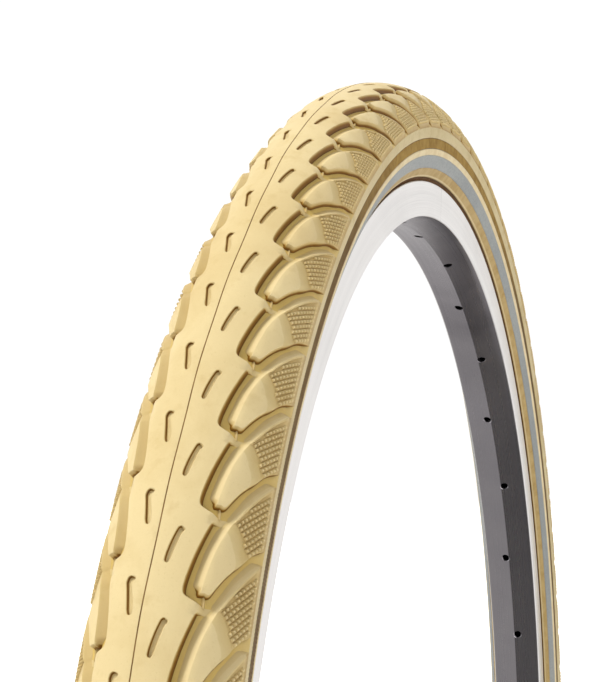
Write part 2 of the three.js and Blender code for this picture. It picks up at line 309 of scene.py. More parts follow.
slit = rounded(L([(431, 273), (447, 268), (466, 283), (459, 298), (452, 306), (441, 350), (430, 400), (420, 452), (409, 472), (395, 468), (389, 452), (397, 395), (411, 332), (424, 290)]))
slit = densify(slit, 0.8)
if area(slit) > 0: slit = slit[::-1]      # holes run clockwise
def shift_into(P, v0): return P + [0, PV * math.ceil((v0 - P[:, 1].min()) / PV)]
slit_r = shift_into(slit, V0)
slit2 = densify(rounded(L([(452, 292), (447, 272), (430, 265), (402, 275), (408, 293), (421, 303), (411, 345), (397, 395), (389, 452), (395, 468), (409, 472), (420, 452), (430, 400), (441, 350), (452, 306)])), 0.8)
if area(slit2) > 0: slit2 = slit2[::-1]
slit_l = to_left(slit2)[::-1]; slit_l = shift_into(slit_l, V0)
SLIT_H = -0.95

BEV = 0.16
def crown_cell():
    bag = Bag()
    nr = normals2(right_edge, np.array([0, PV])); nl = -normals2(left_edge, np.array([0, PV]))
    Rin = right_edge - nr * BEV; Lin = left_edge - nl * BEV
    m = 12
    low = np.array([Lin[0] * (1 - k / m) + Rin[0] * k / m for k in range(1, m)])
    outline = np.vstack([Rin, (low + [0, PV])[::-1], Lin[::-1], low])
    hn_r, hn_l = normals2(slit_r[::-1])[::-1], normals2(slit_l[::-1])[::-1]   # away from the slit's middle
    hr, hl = slit_r + hn_r * BEV, slit_l + hn_l * BEV
    V, F, where = triangulate(outline, [hr, hl], grid=1.7)
    # the crown's top takes a tenth of its height as tone, so the bridge ramp gets little painted shade
    hc = crown_h(V[:, 0], V[:, 1]); bag.add(np.column_stack([V, hc, hc * 0.1]), F)
    base = 0
    # edges: bevel and wall
    def wall(idx_in, P, n, closed, draft, flip, bottom, tone=None):
        hp = crown_h(P[:, 0], P[:, 1])
        a = bag.n
        top = np.column_stack([P, hp - BEV * 0.8])
        hb = bottom(P)
        depth = (hp - BEV * 0.8) - hb
        mid = P + n * (draft * depth)[:, None] * 0.5
        low_ = P + n * (draft * depth)[:, None]
        k = len(P)
        rows = np.vstack([top, np.column_stack([mid, (hp - BEV * .8) - depth * 0.5]), np.column_stack([low_, hb])])
        if tone is not None:
            # painted shade: a wall that faces away from the key (tone above 0.1) takes a dark tone at its top and
            # middle; on the bridge the top stays light, and a slit's bottom row is light
            t = rows[:, 2].copy(); t[k:2 * k] = np.where(tone > 0.1, -2.3 if closed else -1.8, t[k:2 * k] * 0.5); t[:k] = np.where(hp > -0.3, np.where(tone > 0.3, -0.95, t[:k]), t[:k] * 0.1)
            if closed: t[2 * k:] = -0.1
            rows = np.column_stack([rows, t])
        i = np.arange(k if closed else k - 1); j = (i + 1) % k
        w = np.array(idx_in)
        F1 = np.vstack([np.stack([w[i], a + i, a + j], 1), np.stack([w[i], a + j, w[j]], 1)])
        F1 = np.vstack([F1, strip(k, a, a + k, closed), strip(k, a + k, a + 2 * k, closed)])
        bag.v.append(rows); bag.n += len(rows)
        bag.t.append(F1 if not flip else F1[:, ::-1])
        return low_, hb, a + 2 * k + np.arange(k)
    nR, nLo, nLi = len(Rin), len(low), len(Lin)
    fl = lambda P: np.minimum(floor_h(P[:, 0]), crown_h(P[:, 0], P[:, 1]) - 0.25) - 0.15
    # the tone given is how far each stretch of wall faces away from the key, for painted shade
    wr = wall(where[:nR], right_edge, nr, False, 0.52, False, fl, np.where(right_edge[:, 0] < 13.6, nr[:, 0] - 0.5 * nr[:, 1], 0))
    wl = wall(where[nR + nLo:nR + nLo + nLi][::-1], left_edge, nl, False, 0.42, True, fl)
    nO = len(outline)
    w1 = wall(where[nO:nO + len(hr)], slit_r, -hn_r * 1.0, True, 0.42, False, lambda P: np.full(len(P), SLIT_H), -hn_r[:, 0] + 0.5 * hn_r[:, 1])
    w2 = wall(where[nO + len(hr):nO + len(hr) + len(hl)], slit_l, -hn_l * 1.0, True, 0.42, False, lambda P: np.full(len(P), SLIT_H), -hn_l[:, 0] + 0.5 * hn_l[:, 1])
    for ring_, flip_ in ((w1, False), (w2, False)):                    # floors of the two slits
        Q = ring_[0][::-1]; qi = ring_[2][::-1]
        Vf, Ff, wf = triangulate(Q, (), grid=1.2)
        out = np.full(len(Vf), -1)
        for a_, b_ in zip(wf[:len(Q)], qi): out[a_] = b_
        new = np.where(out < 0)[0]
        if len(new):
            out[new] = bag.n + np.arange(len(new)); bag.v.append(np.column_stack([Vf[new], np.full(len(new), SLIT_H), np.full(len(new), -0.05)])); bag.n += len(new)
        bag.t.append(out[Ff])
    # underside
    lowb = np.array([wl[0][0] * (1 - k / m) + wr[0][0] * k / m for k in range(1, m)])
    hlow = np.array([wl[1][0] * (1 - k / m) + wr[1][0] * k / m for k in range(1, m)])
    ia = bag.n + np.arange(m - 1); bag.v.append(np.column_stack([lowb, hlow])); bag.n += m - 1
    ib = bag.n + np.arange(m - 1); bag.v.append(np.column_stack([lowb + [0, PV], hlow])); bag.n += m - 1
    ring = np.vstack([wr[0], (lowb + [0, PV])[::-1], wl[0][::-1], lowb])
    idx = np.concatenate([wr[2], ib[::-1], wl[2][::-1], ia])
    cap(bag, [(ring, idx)], lambda Q: np.full(len(Q), -2.0), 3.2)
    return bag

# shoulder block, in (s, v): the crest facing the crown from the tip up, the outer end, the lower edge back to the tip
crest = [(13.25, 2.2), (13.4, 2.9), (13.55, 4.23), (13.82, 6.52), (14.2, 8.9), (14.68, 11.5), (15.3, 14.4), (16.13, 17.17), (17.1, 19.8), (18.5, 22.9), (20.3, 26.2), (22.4, 30.05), (24.5, 34.2), (26.9, 38.0), (28.6, 40.5), (29.7, 41.8), (30.55, 42.5)]
outer_end = [(30.62, 41.6), (30.62, 37.0), (30.62, 32.0), (30.62, 27.0), (30.6, 22.3)]
lower = [(30.4, 21.4), (29.6, 20.9), (28.4, 20.0), (27.2, 18.9), (26.1, 17.7), (25.07, 16.2), (23.91, 14.2), (22.6, 12.25), (21.19, 10.65), (19.74, 8.8), (17.93, 5.9), (16.6, 3.4), (15.95, 2.3), (15.3, 2.0), (14.5, 2.35), (13.8, 2.2)]
BL = np.array(crest + outer_end + lower)
if area(BL) < 0: BL = BL[::-1]
BLK = densify(rounded(BL), 0.8)
curve_a = np.array([(17.2, 20.9), (18.03, 19.42), (19.14, 17.16), (20.29, 14.99), (20.93, 13.01), (21.2, 11.4), (21.3, 10.2)])
curve_b = np.array([(18.6, 24.45), (19.55, 23.82), (21.02, 22.5), (21.94, 20.78), (22.64, 19.36), (23.47, 17.14), (24.23, 15.42), (24.5, 14.8)])
def side_of(curve, Q):
    """signed distance to a curve extended at both ends, positive on its right side (larger s)"""
    C = np.vstack([curve[0] + (curve[0] - curve[1]) * 20, curve, curve[-1] + (curve[-1] - curve[-2]) * 20])
    d = edge_dist(C, Q, False)
    best = np.full(len(Q), 1e9); sgn = np.zeros(len(Q))
    for a, b in zip(C[:-1], C[1:]):
        ab = b - a; t = np.clip(((Q - a) @ ab) / (ab @ ab), 0, 1); dd = np.linalg.norm(Q - (a + t[:, None] * ab), axis=1)
        m = dd < best - 1e-9
        best[m] = dd[m]; cr = ab[0] * (Q[:, 1] - a[1]) - ab[1] * (Q[:, 0] - a[0]); sgn[m] = np.sign(cr[m])
    return d * sgn
KNURL = -0.78
def block_h(P):
    P = np.asarray(P, float).reshape(-1, 2)
    da = side_of(curve_a, P); db = side_of(curve_b, P)
    # curves run down the wheel, so larger s is on their left
    t = np.clip(da / (da - db + 1e-9), 0, 1) * (da > 0); t = np.where(db >= 0, 1, t)
    h = -0.14 * np.clip(da / 0.22, 0, 1) - 0.56 * t
    k = np.clip(db / 0.3, 0, 1)
    h = h + (KNURL + 0.70) * k * (db > 0)
    # the crest stays up as a rounded lip beside the knurl
    lip = np.clip((RIM_IN + 0.18 - edge_dist(CREST, P, False)) / 0.18, 0, 1)
    lip = lip * np.clip((29.2 - P[:, 0]) / 0.8, 0, 1)
    out = np.clip((P[:, 0] - 28.7) / 1.9, 0, 1)              # past the knurl the block runs down to meet the shoulder band
    return h + lip * (db > 0) * (np.minimum(-0.16, -0.16 - 0.1 * t) - h) - 0.42 * out
RIM_IN = 0.5
CREST = rounded(np.array(crest), closed=False)

def block_cell():
    bag = Bag()
    n = normals2(BLK); k = len(BLK)
    c = np.clip(-n[:, 0] * 1.25 - 0.1, 0, 1)                # how much a stretch of the outline faces the crown
    for _ in range(3): c = (np.roll(c, 1) + c * 2 + np.roll(c, -1)) / 4
    c = c * np.clip((BLK[:, 1] - 2.6) / 1.6, 0, 1)          # the tip ends in a steep wall
    bev = 0.14 + 0.05 * c; inn = BLK - n * bev[:, None]
    def clip_line(q): return densify(q[1:-1], 0.9, False)
    ca, cb = clip_line(curve_a), clip_line(curve_b)
    cb2 = cb + np.array([0.3, 0.0])
    # lip lines along the crest, above the knurl's corner only
    on = [q for q in range(k) if n[q, 0] < -0.3 and 25.0 < BLK[q, 1] < 39.6]
    on.sort(key=lambda q: BLK[q, 1])
    l1 = BLK[on] - n[on] * RIM_IN; l2 = BLK[on] - n[on] * (RIM_IN + 0.18)
    end = np.column_stack([np.full(15, 28.7), np.linspace(22.4, 39.2, 15)])
    V, F, where = triangulate(inn, (), grid=1.7, lines=[ca, cb, cb2, l1, l2, end])
    # painted shade: the knurl's floor between the studs takes a dark tone
    h = block_h(V); knurled = (h < -0.7) & (V[:, 0] < 28.6) & (side_of(curve_b, V) > 0.25) & (edge_dist(BLK, V) > 0.3)
    bag.add(np.column_stack([V, h, np.where(knurled, -0.95, h)]), F)
    hp = block_h(BLK)
    a = bag.n
    hb = floor_h(BLK[:, 0]) - 0.2
    drop = BEV * 0.8
    depth = hp - drop - hb
    W = (0.36 + 0.86 * c) * depth                            # broad hollow slope towards the crown, steep walls elsewhere
    # painted light and shade: the slope facing the crown takes a light tone at its top and a dark one at its foot
    rows = []
    for f, g, tn in ((0, 0, 0.10), (0.22, 0.32, 0.06), (0.52, 0.66, -0.2), (1.0, 1.0, -0.85)):
        h = hp - drop - depth * g
        rows.append(np.column_stack([BLK + n * (W * f)[:, None], h, h * (1 - c) + tn * c]))
    rows = np.vstack(rows)
    i = np.arange(k); j = (i + 1) % k; w = where[:k]
    F1 = np.vstack([np.stack([w[i], a + i, a + j], 1), np.stack([w[i], a + j, w[j]], 1), strip(k, a, a + k), strip(k, a + k, a + 2 * k), strip(k, a + 2 * k, a + 3 * k)])
    bag.v.append(rows); bag.n += len(rows); bag.t.append(F1)
    cap(bag, [(rows[3 * k:, :2], a + 3 * k + i)], lambda Q: floor_h(Q[:, 0]) - 0.2, 3.0)
    return bag

def stud_cell():
    """the knurl: small blunt pyramids on a slanted lattice over the outer part of the block"""
    bag = Bag()
    e1, e2 = np.array([0.85, 1.15]), np.array([0.855, -0.958])
    o = np.array([19.91, 23.94]) + (e1 + e2) / 2
    c = []
    for i in range(-30, 31):
        for j in range(-30, 31): c.append(o + e1 * i + e2 * j)
    c = np.array(c)
    ok = inside(BLK, c) & (edge_dist(BLK, c) > 0.42) & (edge_dist(CREST, c, False) > 0.95) & (side_of(curve_b, c) > 0.45) & (c[:, 0] < 28.45)
    c = c[ok]
    wb, wt, H = 0.485, 0.15, 0.64
    corner = [(-1, -1), (1, -1), (1, 1), (-1, 1)]
    V, F = [], []
    for q in c:
        b = len(V)
        # painted shade at the studs' feet, and a faint painted highlight on their tops, by tone
        for x, y in corner: V.append((*(q + e1 * x * wb + e2 * y * wb), KNURL - 0.05, -1.05))
        for x, y in corner: V.append((*(q + e1 * x * wt + e2 * y * wt), KNURL + H, 0.03))
        F += [(b + 4, b + 5, b + 6), (b + 4, b + 6, b + 7), (b + 2, b + 1, b), (b + 3, b + 2, b)]
        for k in range(4):
            m = (k + 1) % 4
            F += [(b + k, b + m, b + 4 + m), (b + k, b + 4 + m, b + 4 + k)]
    V, F = np.array(V), np.array(F)
    # u1 x u2 is clockwise in the layout, so turn the faces
    F = F[:, ::-1]
    bag.add(V, F)
    return bag

def tie_cell():
    """thin tie bar between the block's lower tip and the crown's bridge"""
    P = densify(L([(616, 592), (623, 588), (630, 628), (633, 664), (624, 664), (621, 626)]), 0.8)
    if area(P) < 0: P = P[::-1]
    bag = Bag(); n = normals2(P); inn = P - n * 0.12
    V, F, where = triangulate(inn, (), grid=1.2)
    hp = lambda Q: -1.6 + 0 * Q[:, 0]
    bag.add(np.column_stack([V, hp(V)]), F)
    k = len(P); a = bag.n
    rows = np.vstack([np.column_stack([P, hp(P) - 0.12]), np.column_stack([P + n * 0.35, np.full(k, FLOOR - 0.2)])])
    i = np.arange(k); j = (i + 1) % k; w = where[:k]
    # the tie takes a lighter tone than its depth gives, so less painted shade
    bag.v[-1] = np.column_stack([bag.v[-1], bag.v[-1][:, 2] * 0.3]); rows = np.column_stack([rows, rows[:, 2] * 0.4])
    bag.v.append(rows); bag.n += len(rows)
    bag.t.append(np.vstack([np.stack([w[i], a + i, a + j], 1), np.stack([w[i], a + j, w[j]], 1), strip(k, a, a + k)]))
    cap(bag, [(rows[k:, :2], a + k + i)], lambda Q: np.full(len(Q), FLOOR - 0.2), 2.0)
    return bag

def repeat(V, F, count=PITCHES):
    n = len(V)
    VV = np.concatenate([V + [0, PV * k, 0, 0] for k in range(count)])
    FF = np.concatenate([F + n * k for k in range(count)])
    return VV, FF

PHASE = 0.0
def tread_piece(name, bags, left=False, merge=None, smooth=38):
    V, F = [], []; n = 0
    for b in bags:
        v, f = b.arrays()
        V.append(v); F.append(f + n); n += len(v)
    V, F = np.vstack(V), np.vstack(F)
    if left:
        # painted shade: the left blocks face away from the key, so tones raised for painted highlight become a darker
        # one
        V2 = to_left(V[:, :2]); tone = np.where(V[:, 3] > V[:, 2] + 0.02, -0.66, V[:, 3]); V = np.column_stack([V2, V[:, 2], tone]); F = F[:, ::-1]
    V, F = repeat(V, F)
    # sits so that the layout's v = 0 falls on the wheel angle measured for it
    W = wrap(V[:, 0], V[:, 1] + THETA0 / (360 / PITCHES) * PV, V[:, 2])
    # the attribute h carries each vert's tone, the painted shade and painted highlight of the tread's colour
    return add_mesh(name, W, F, attrs={"h": V[:, 3], "s": V[:, 0], "u": V[:, 1]}, smooth_angle=smooth, merge=merge)

# layout y = 640 is 45 - (180 + 320) / 60 degrees on the wheel
THETA0 = 45 - (180 + 640 / 2) / 60

crown = tread_piece("tread_crown", [crown_cell()], merge=0.002)
shoulder_r = tread_piece("tread_shoulder_right", [block_cell(), tie_cell()])
shoulder_l = tread_piece("tread_shoulder_left", [block_cell(), tie_cell()], left=True)
studs_r = tread_piece("tread_studs_right", [stud_cell()], smooth=None)
studs_l = tread_piece("tread_studs_left", [stud_cell()], left=True, smooth=None)

# groove floor: the carcass side of the tread, a closed ring under the blocks
ss = np.concatenate([np.linspace(-30.7, -28.1, 11), np.linspace(-27, -21.5, 6), np.linspace(-20, 20, 21), np.linspace(21.5, 27, 6), np.linspace(28.1, 30.7, 11)])
def on_sec(x, h): return (RC + (A + h) * math.cos(reach(x) / A), (A + h) * math.sin(reach(x) / A))
prof = [on_sec(x, floor_h(x)) for x in ss]
prof += [on_sec(x, -3.6 + 0.9 * max(0, (abs(x) - 20) / 8.8)) for x in ss[::-1]]
floor_ring = ring_mesh("tread_groove_floor", prof, 540, smooth_angle=50)


# raised mould parting line along the crown
def seam_profile(th, r, y):
    w = 0.22 * np.sin(th * 7 + 1.1) + 0.16 * np.sin(th * 23 + .4) + 0.10 * np.sin(th * 61)
    return r, y + w
seam = ring_mesh("tread_parting_line", [(RC + A - 0.2, -0.52), (RC + A + 0.05, -0.44), (RC + A + 0.05, -0.16), (RC + A - 0.2, -0.08)], 1080, smooth_angle=60, wobble=seam_profile)

# ---------------------------------------------------------------- sidewalls
def sec(s, h): return (RC + (A + h) * math.cos(s / A), (A + h) * math.sin(s / A))
def side_profile():
    outer = [(338.1, 21.2), (338.75, 21.6), (338.8, 21.88), (338.5, 21.98), (337.4, 21.86), (336.2, 21.68), (334.9, 21.50), (334.55, 21.40), (334.38, 21.18), (334.30, 20.90),
             (333.0, 20.74), (331.6, 20.70), (330.1, 20.62), (329.98, 20.78), (329.86, 20.92), (329.6, 20.96), (329.1, 20.86), (328.4, 20.62), (327.62, 20.36), (327.42, 20.24), (327.34, 20.06),
             (324.8, 18.86), (322.28, 17.60), (322.16, 17.68), (321.9, 17.48), (321.1, 16.86), (320.2, 16.18), (319.6, 15.72), (319.1, 15.36), (318.86, 15.10), (318.74, 14.80), (318.72, 14.3), (318.72, 13.8)]
    inner = [(319.3, 13.5), (323.4, 16.3), (328.8, 19.0), (333.4, 19.7), (337.4, 20.3)]
    return outer + inner
def mirror(p): return [(r, -y) for r, y in p]
SP = side_profile()
side_r = ring_mesh("sidewall_rubber_right", SP, 720, smooth_angle=42)
side_l = ring_mesh("sidewall_rubber_left", mirror(SP), 720, smooth_angle=42)

# ribbed dynamo track: a ring whose outer face rises and falls once each 0.2 degrees
def rib_ring(name, side, out, inn, amps, depth):
    P = np.array(out + inn); n = 3600; m = len(P)
    nrm = normals2(P if area(P) > 0 else P[::-1])
    if area(P) <= 0: nrm = nrm[::-1]
    amp = np.array(amps + [0] * len(inn)) * depth
    th = np.arange(n) / n * TAU
    k = np.where(np.arange(n) % 2 == 0, 1.0, 0.0)
    r = P[None, :, 0] + nrm[None, :, 0] * amp * k[:, None]; y = P[None, :, 1] + nrm[None, :, 1] * amp * k[:, None]
    V = np.stack([r * np.cos(th)[:, None], y * side, r * np.sin(th)[:, None]], -1).reshape(-1, 3)
    kk = np.arange(m); j = np.arange(n); j2 = (j + 1) % n
    Q = np.stack([(j[:, None] * m + kk).ravel(), (j[:, None] * m + (kk + 1) % m).ravel(), (j2[:, None] * m + (kk + 1) % m).ravel(), (j2[:, None] * m + kk).ravel()], 1)
    ob = add_mesh(name, V, None, quads=Q, smooth_angle=25); fix_normals(ob); return ob
# the track lies in a shallow step below the shoulder band, and the band above it has the same ribs, shallower
TRACK = dict(out=[(334.28, 20.96), (334.1, 21.0), (333.0, 20.86), (331.8, 20.82), (330.25, 20.76), (330.05, 20.70)], inn=[(330.3, 20.3), (334.0, 20.4)], amps=[0, 1, 1, 1, 1, 0], depth=0.24)
BAND = dict(out=[(338.75, 21.84), (338.5, 22.02), (337.4, 21.88), (336.2, 21.72), (335.0, 21.54), (334.7, 21.40)], inn=[(335.4, 21.2), (338.3, 21.55)], amps=[0, 1, 1, 1, .8, 0], depth=0.13)
ribs_r, ribs_l = rib_ring("dynamo_track_right", 1, **TRACK), rib_ring("dynamo_track_left", -1, **TRACK)
band_r, band_l = rib_ring("shoulder_band_right", 1, **BAND), rib_ring("shoulder_band_left", -1, **BAND)

# reflective band, edges a little uneven as a printed film's are
def stripe_ring(name, side):
    rng = np.random.default_rng(5 if side > 0 else 6)
    n = 1440; th = np.arange(n) / n * TAU
    def wave(amp, fs):
        w = np.zeros(n)
        for f in fs: w += np.sin(th * f + rng.uniform(0, TAU)) * amp / len(fs) ** .5
        return w
    e_out = wave(0.05, (11, 37, 83, 141)); e_in = wave(0.10, (7, 29, 61, 113, 173))
    a, b = np.array((327.34, 20.22)), np.array((322.22, 17.76))
    d = (b - a) / np.linalg.norm(b - a); nn = np.array((-d[1], d[0])) * -1
    if nn[1] < 0: nn = -nn
    rows = []
    for t, h, e in ((0, 0.0, 0), (0.02, 0.05, 0), (.25, .06, None), (.5, .06, None), (.75, .06, None), (0.98, 0.05, 1), (1, 0.0, 1), (1, -0.25, 1), (.5, -0.25, None), (0, -0.25, 0)):
        p = a + (b - a) * t + nn * h
        q = np.repeat(p[None], n, 0)
        if e == 0: q = q + d * e_out[:, None]
        if e == 1: q = q + d * e_in[:, None]
        rows.append(q)
    R = np.stack(rows, 1); m = R.shape[1]
    V = np.stack([R[..., 0] * np.cos(th)[:, None], R[..., 1] * side, R[..., 0] * np.sin(th)[:, None]], -1).reshape(-1, 3)
    kk = np.arange(m); j = np.arange(n); j2 = (j + 1) % n
    Q = np.stack([(j[:, None] * m + kk).ravel(), (j[:, None] * m + (kk + 1) % m).ravel(), (j2[:, None] * m + (kk + 1) % m).ravel(), (j2[:, None] * m + kk).ravel()], 1)
    ob = add_mesh(name, V, None, quads=Q, smooth_angle=40); fix_normals(ob); return ob
stripe_r = stripe_ring("reflective_band_right", 1)
stripe_l = stripe_ring("reflective_band_left", -1)

# bead cloth seen in the gap above the rim flange
gap = [(318.98, 14.5), (318.5, 13.75), (317.9, 13.2), (316.8, 13.08), (312, 13.08), (312, 12.8), (316.9, 12.75), (318.2, 12.8), (319.5, 13.7)]
chafer_r = ring_mesh("bead_cloth_right", gap, 360, smooth_angle=50)
chafer_l = ring_mesh("bead_cloth_left", mirror(gap), 360, smooth_angle=50)

# cords, belt and tube as smooth rings that follow the finished section
def both(outer, inner): return mirror(outer)[::-1] + outer + inner[::-1] + mirror(inner)
casing_ring = ring_mesh("casing_cords", both([(352.4, 2.7), (350.9, 7.6), (348.0, 12.6), (343.6, 17.0), (338.8, 19.2), (333.4, 19.4), (328.6, 18.5), (323.2, 15.8), (318.6, 12.65), (316.6, 12.55), (312.0, 12.55), (312.0, 8.6), (316.4, 8.6)],
    [(351.6, 2.6), (350.1, 7.2), (347.3, 11.9), (343.0, 16.1), (338.4, 18.4), (333.5, 18.7), (328.9, 17.8), (323.6, 15.1), (318.2, 12.0), (316.4, 11.95), (312.6, 11.9), (312.6, 9.2), (316.4, 9.2)]), 480, smooth_angle=40)
belt_ring = ring_mesh("breaker_cords", both([(353.3, 2.9), (352.0, 7.5), (349.4, 11.6)], [(352.7, 2.8), (351.4, 7.2), (348.95, 11.2)]), 480, smooth_angle=40)
tube_ring = ring_mesh("inner_tube_smooth", both([(350.9, 2.4), (349.3, 7.0), (346.4, 11.2), (342.0, 15.3), (337.4, 17.5), (333.0, 17.8), (328.4, 16.6), (323.6, 13.6), (317.8, 8.5), (313.4, 5.4), (312.4, 3.0)],
    [(350.0, 2.2), (348.4, 6.6), (345.6, 10.6), (341.4, 14.5), (337.0, 16.6), (333.1, 16.9), (328.8, 15.8), (324.2, 12.9), (318.4, 7.9), (314.1, 4.9), (313.3, 2.8)]), 480, smooth_angle=50)

# ---------------------------------------------------------------- rim
RIDGE, SLOPE, FY = 299.52, 2.67 / 13.84, 13.2
def rim_mesh():
    cell = 20.0
    def rr(y): return RIDGE + SLOPE * np.abs(y)
    K = RIDGE * math.radians(1)             # mm per degree on the spoke face
    holes, lines = [], []
    HR = 2.15
    for deg, sy in ((5.0, 1), (15.0, -1)):
        al = list(np.radians(np.arange(0, 360, 15.0)))
        x = math.asin(-1.93 / (HR * 1.10))
        al = [t for t in al if min(abs((t - x + math.pi) % TAU - math.pi), abs((t - (math.pi - x) + math.pi) % TAU - math.pi)) > 0.09] + [x % TAU, (math.pi - x) % TAU]
        al = np.array(sorted(al))
        pts = np.column_stack([sy * (1.93 + HR * np.sin(al)), deg * K + HR * np.cos(al)])
        if area(pts) > 0: pts = pts[::-1]
        holes.append(pts)
    ys = [-13.2, -9, -5.5, -2.5, 0, 2.5, 5.5, 9, 13.2]
    bot = [(y, 0.0) for y in ys]
    right = [(13.2, d * K) for d in range(1, 20)]
    top = [(y, cell * K) for y in ys[::-1]]
    left = [(-13.2, d * K) for d in range(19, 0, -1)]
    outline = np.array(bot + right + top + left)
    # countersunk edge round each hole: the face ends at a slightly wider circle
    wide = []
    for h, (deg, sy) in zip(holes, ((5.0, 1), (15.0, -1))):
        c = np.array([sy * 1.93, deg * K]); wide.append(c + (h - c) * 1.10)
    hc = HR * 1.10 * math.cos(math.asin(-1.93 / (HR * 1.10)))      # half of the ridge's length cut away by a hole
    def ridge_line(a, b): return densify([(0, a), (0, b)], 3.0, False)
    def cell_mesh(holes, wide, spans):
      V, F, where = triangulate(outline, wide, grid=3.6, lines=[ridge_line(a, b) for a, b in spans])
      R = rr(V[:, 0])
      verts = [np.column_stack([V, R])]; tris = [F[:, ::-1]]; n = len(V); nO = len(outline)
      base = nO
      for h, w_ in zip(holes, wide):
          k = len(h); idx = where[base:base + k]; base += k
          rows = [np.column_stack([h, rr(h[:, 0]) + 0.22]), np.column_stack([h, rr(h[:, 0]) + 2.2]), np.column_stack([h + (h - h.mean(0)) * 0.9, rr(h[:, 0]) * 0 + RIDGE + 2.6]), np.column_stack([h + (h - h.mean(0)) * 0.9, rr(h[:, 0]) * 0 + RIDGE + 6.6])]
          a = n
          for r_ in rows: verts.append(r_); n += k
          verts.append(np.array([[*h.mean(0), RIDGE + 6.6]])); cidx = n; n += 1
          i = np.arange(k); j = (i + 1) % k
          f = [np.stack([idx[i], a + i, a + j], 1), np.stack([idx[i], a + j, idx[j]], 1)]
          for q in range(len(rows) - 1): f.append(strip(k, a + q * k, a + (q + 1) * k))
          f.append(np.stack([a + (len(rows) - 1) * k + i, np.full(k, cidx), a + (len(rows) - 1) * k + j], 1))
          tris.append(np.vstack(f)[:, ::-1])
      return np.vstack(verts), np.vstack(tris)
    e0, e1, e2, e3 = 5 * K - hc, 5 * K + hc, 15 * K - hc, 15 * K + hc
    plain = cell_mesh(holes, wide, [(0, e0), (e1, e2), (e3, cell * K)])
    al = np.radians(np.concatenate([np.arange(0, 360, 12.0)])) + 0.0
    vh = np.column_stack([4.35 * np.sin(al), 10 * K + 4.35 * np.cos(al)])
    if area(vh) > 0: vh = vh[::-1]
    vw = np.array([0, 10 * K]) + (vh - [0, 10 * K]) * 1.05
    valve_cell = cell_mesh(holes + [vh], wide + [vw], [(0, e0), (e1, 10 * K - 4.35 * 1.05), (10 * K + 4.35 * 1.05, e2), (e3, cell * K)])
    VV, FF, off = [], [], 0
    for c in range(18):
        v_, f_ = valve_cell if c == 13 else plain
        VV.append(v_ + [0, cell * K * c, 0]); FF.append(f_ + off); off += len(v_)
    VV, FF = np.concatenate(VV), np.concatenate(FF)
    th = VV[:, 1] / K * math.radians(1)
    X = np.stack([VV[:, 2] * np.cos(th), VV[:, 0], VV[:, 2] * np.sin(th)], -1)
    # the rest of the section, from the right edge of the spoke face round the tyre side to the left edge
    half = [(RIDGE + SLOPE * 13.2, 13.2), (302.18, 13.50), (302.30, 13.68), (302.55, 13.80), (302.95, 13.86), (303.15, 13.82), (303.35, 13.90), (306.5, 14.03), (310.0, 14.17), (313.5, 14.31), (315.4, 14.38), (315.6, 14.34), (315.8, 14.42),
            (316.4, 14.44), (316.85, 14.36), (317.08, 14.14), (317.15, 13.85), (317.05, 13.55), (316.7, 13.30), (316.0, 13.2), (315.0, 13.14), (311.4, 13.14), (311.0, 12.9), (311.0, 8.3), (310.6, 7.6), (309.2, 6.5), (309.0, 6.0)]
    P = np.array(half + [(r, -y) for r, y in half[::-1]])
    nn = 360; t = np.radians(np.arange(nn)); mm = len(P)
    Y = np.stack([P[None, :, 0] * np.cos(t)[:, None], np.repeat(P[None, :, 1], nn, 0), P[None, :, 0] * np.sin(t)[:, None]], -1).reshape(-1, 3)
    kk = np.arange(mm - 1); j = np.arange(nn); j2 = (j + 1) % nn
    Q = np.stack([(j[:, None] * mm + kk).ravel(), (j[:, None] * mm + kk + 1).ravel(), (j2[:, None] * mm + kk + 1).ravel(), (j2[:, None] * mm + kk).ravel()], 1)
    T = np.vstack([Q[:, [0, 1, 2]], Q[:, [0, 2, 3]]]) + len(X)
    # triangles of the two sheets must run the same way round
    ob = add_mesh("rim_shell", np.vstack([X, Y]), np.vstack([FF, T]), smooth_angle=None, merge=0.01)
    bm = bmesh.new(); bm.from_mesh(ob.data)
    # faces turned one way round; the holes' dark inside is painted shade in the rim's colour
    bmesh.ops.recalc_face_normals(bm, faces=bm.faces)
    bm.to_mesh(ob.data); bm.free()
    ob.data.polygons.foreach_set("use_smooth", np.ones(len(ob.data.polygons), bool))
    ob.data.set_sharp_from_angle(angle=math.radians(12))
    fix_normals(ob)
    return ob
rim = rim_mesh()

# ---------------------------------------------------------------- valve, nut, washer and cap
def rows_mesh(name, rows, smooth_angle=35, cap0=True, cap1=True):
    """closed body from equal rows of points round the z axis, rows running from one end to the other"""
    R = np.array(rows); m, n = R.shape[0], R.shape[1]
    V = R.reshape(-1, 3); i = np.arange(n); j = (i + 1) % n
    T = [strip(n, k * n, (k + 1) * n) for k in range(m - 1)]
    extra = []
    if cap0: extra.append(R[0].mean(0)); T.append(np.stack([np.full(n, len(V) + len(extra) - 1), i, j], 1)[:, ::-1] if True else None)
    if cap1: extra.append(R[-1].mean(0)); T.append(np.stack([np.full(n, len(V) + len(extra) - 1), (m - 1) * n + i, (m - 1) * n + j], 1))
    if extra: V = np.vstack([V, extra])
    ob = add_mesh(name, V, np.vstack(T), smooth_angle=smooth_angle)
    bm = bmesh.new(); bm.from_mesh(ob.data); bmesh.ops.recalc_face_normals(bm, faces=bm.faces); bm.to_mesh(ob.data); bm.free()
    fix_normals(ob)
    return ob
def circle(r, z, n=72, ph=0.0):
    t = (np.arange(n) + ph) / n * TAU
    return np.stack([r * np.cos(t), r * np.sin(t), np.full(n, z)], -1)

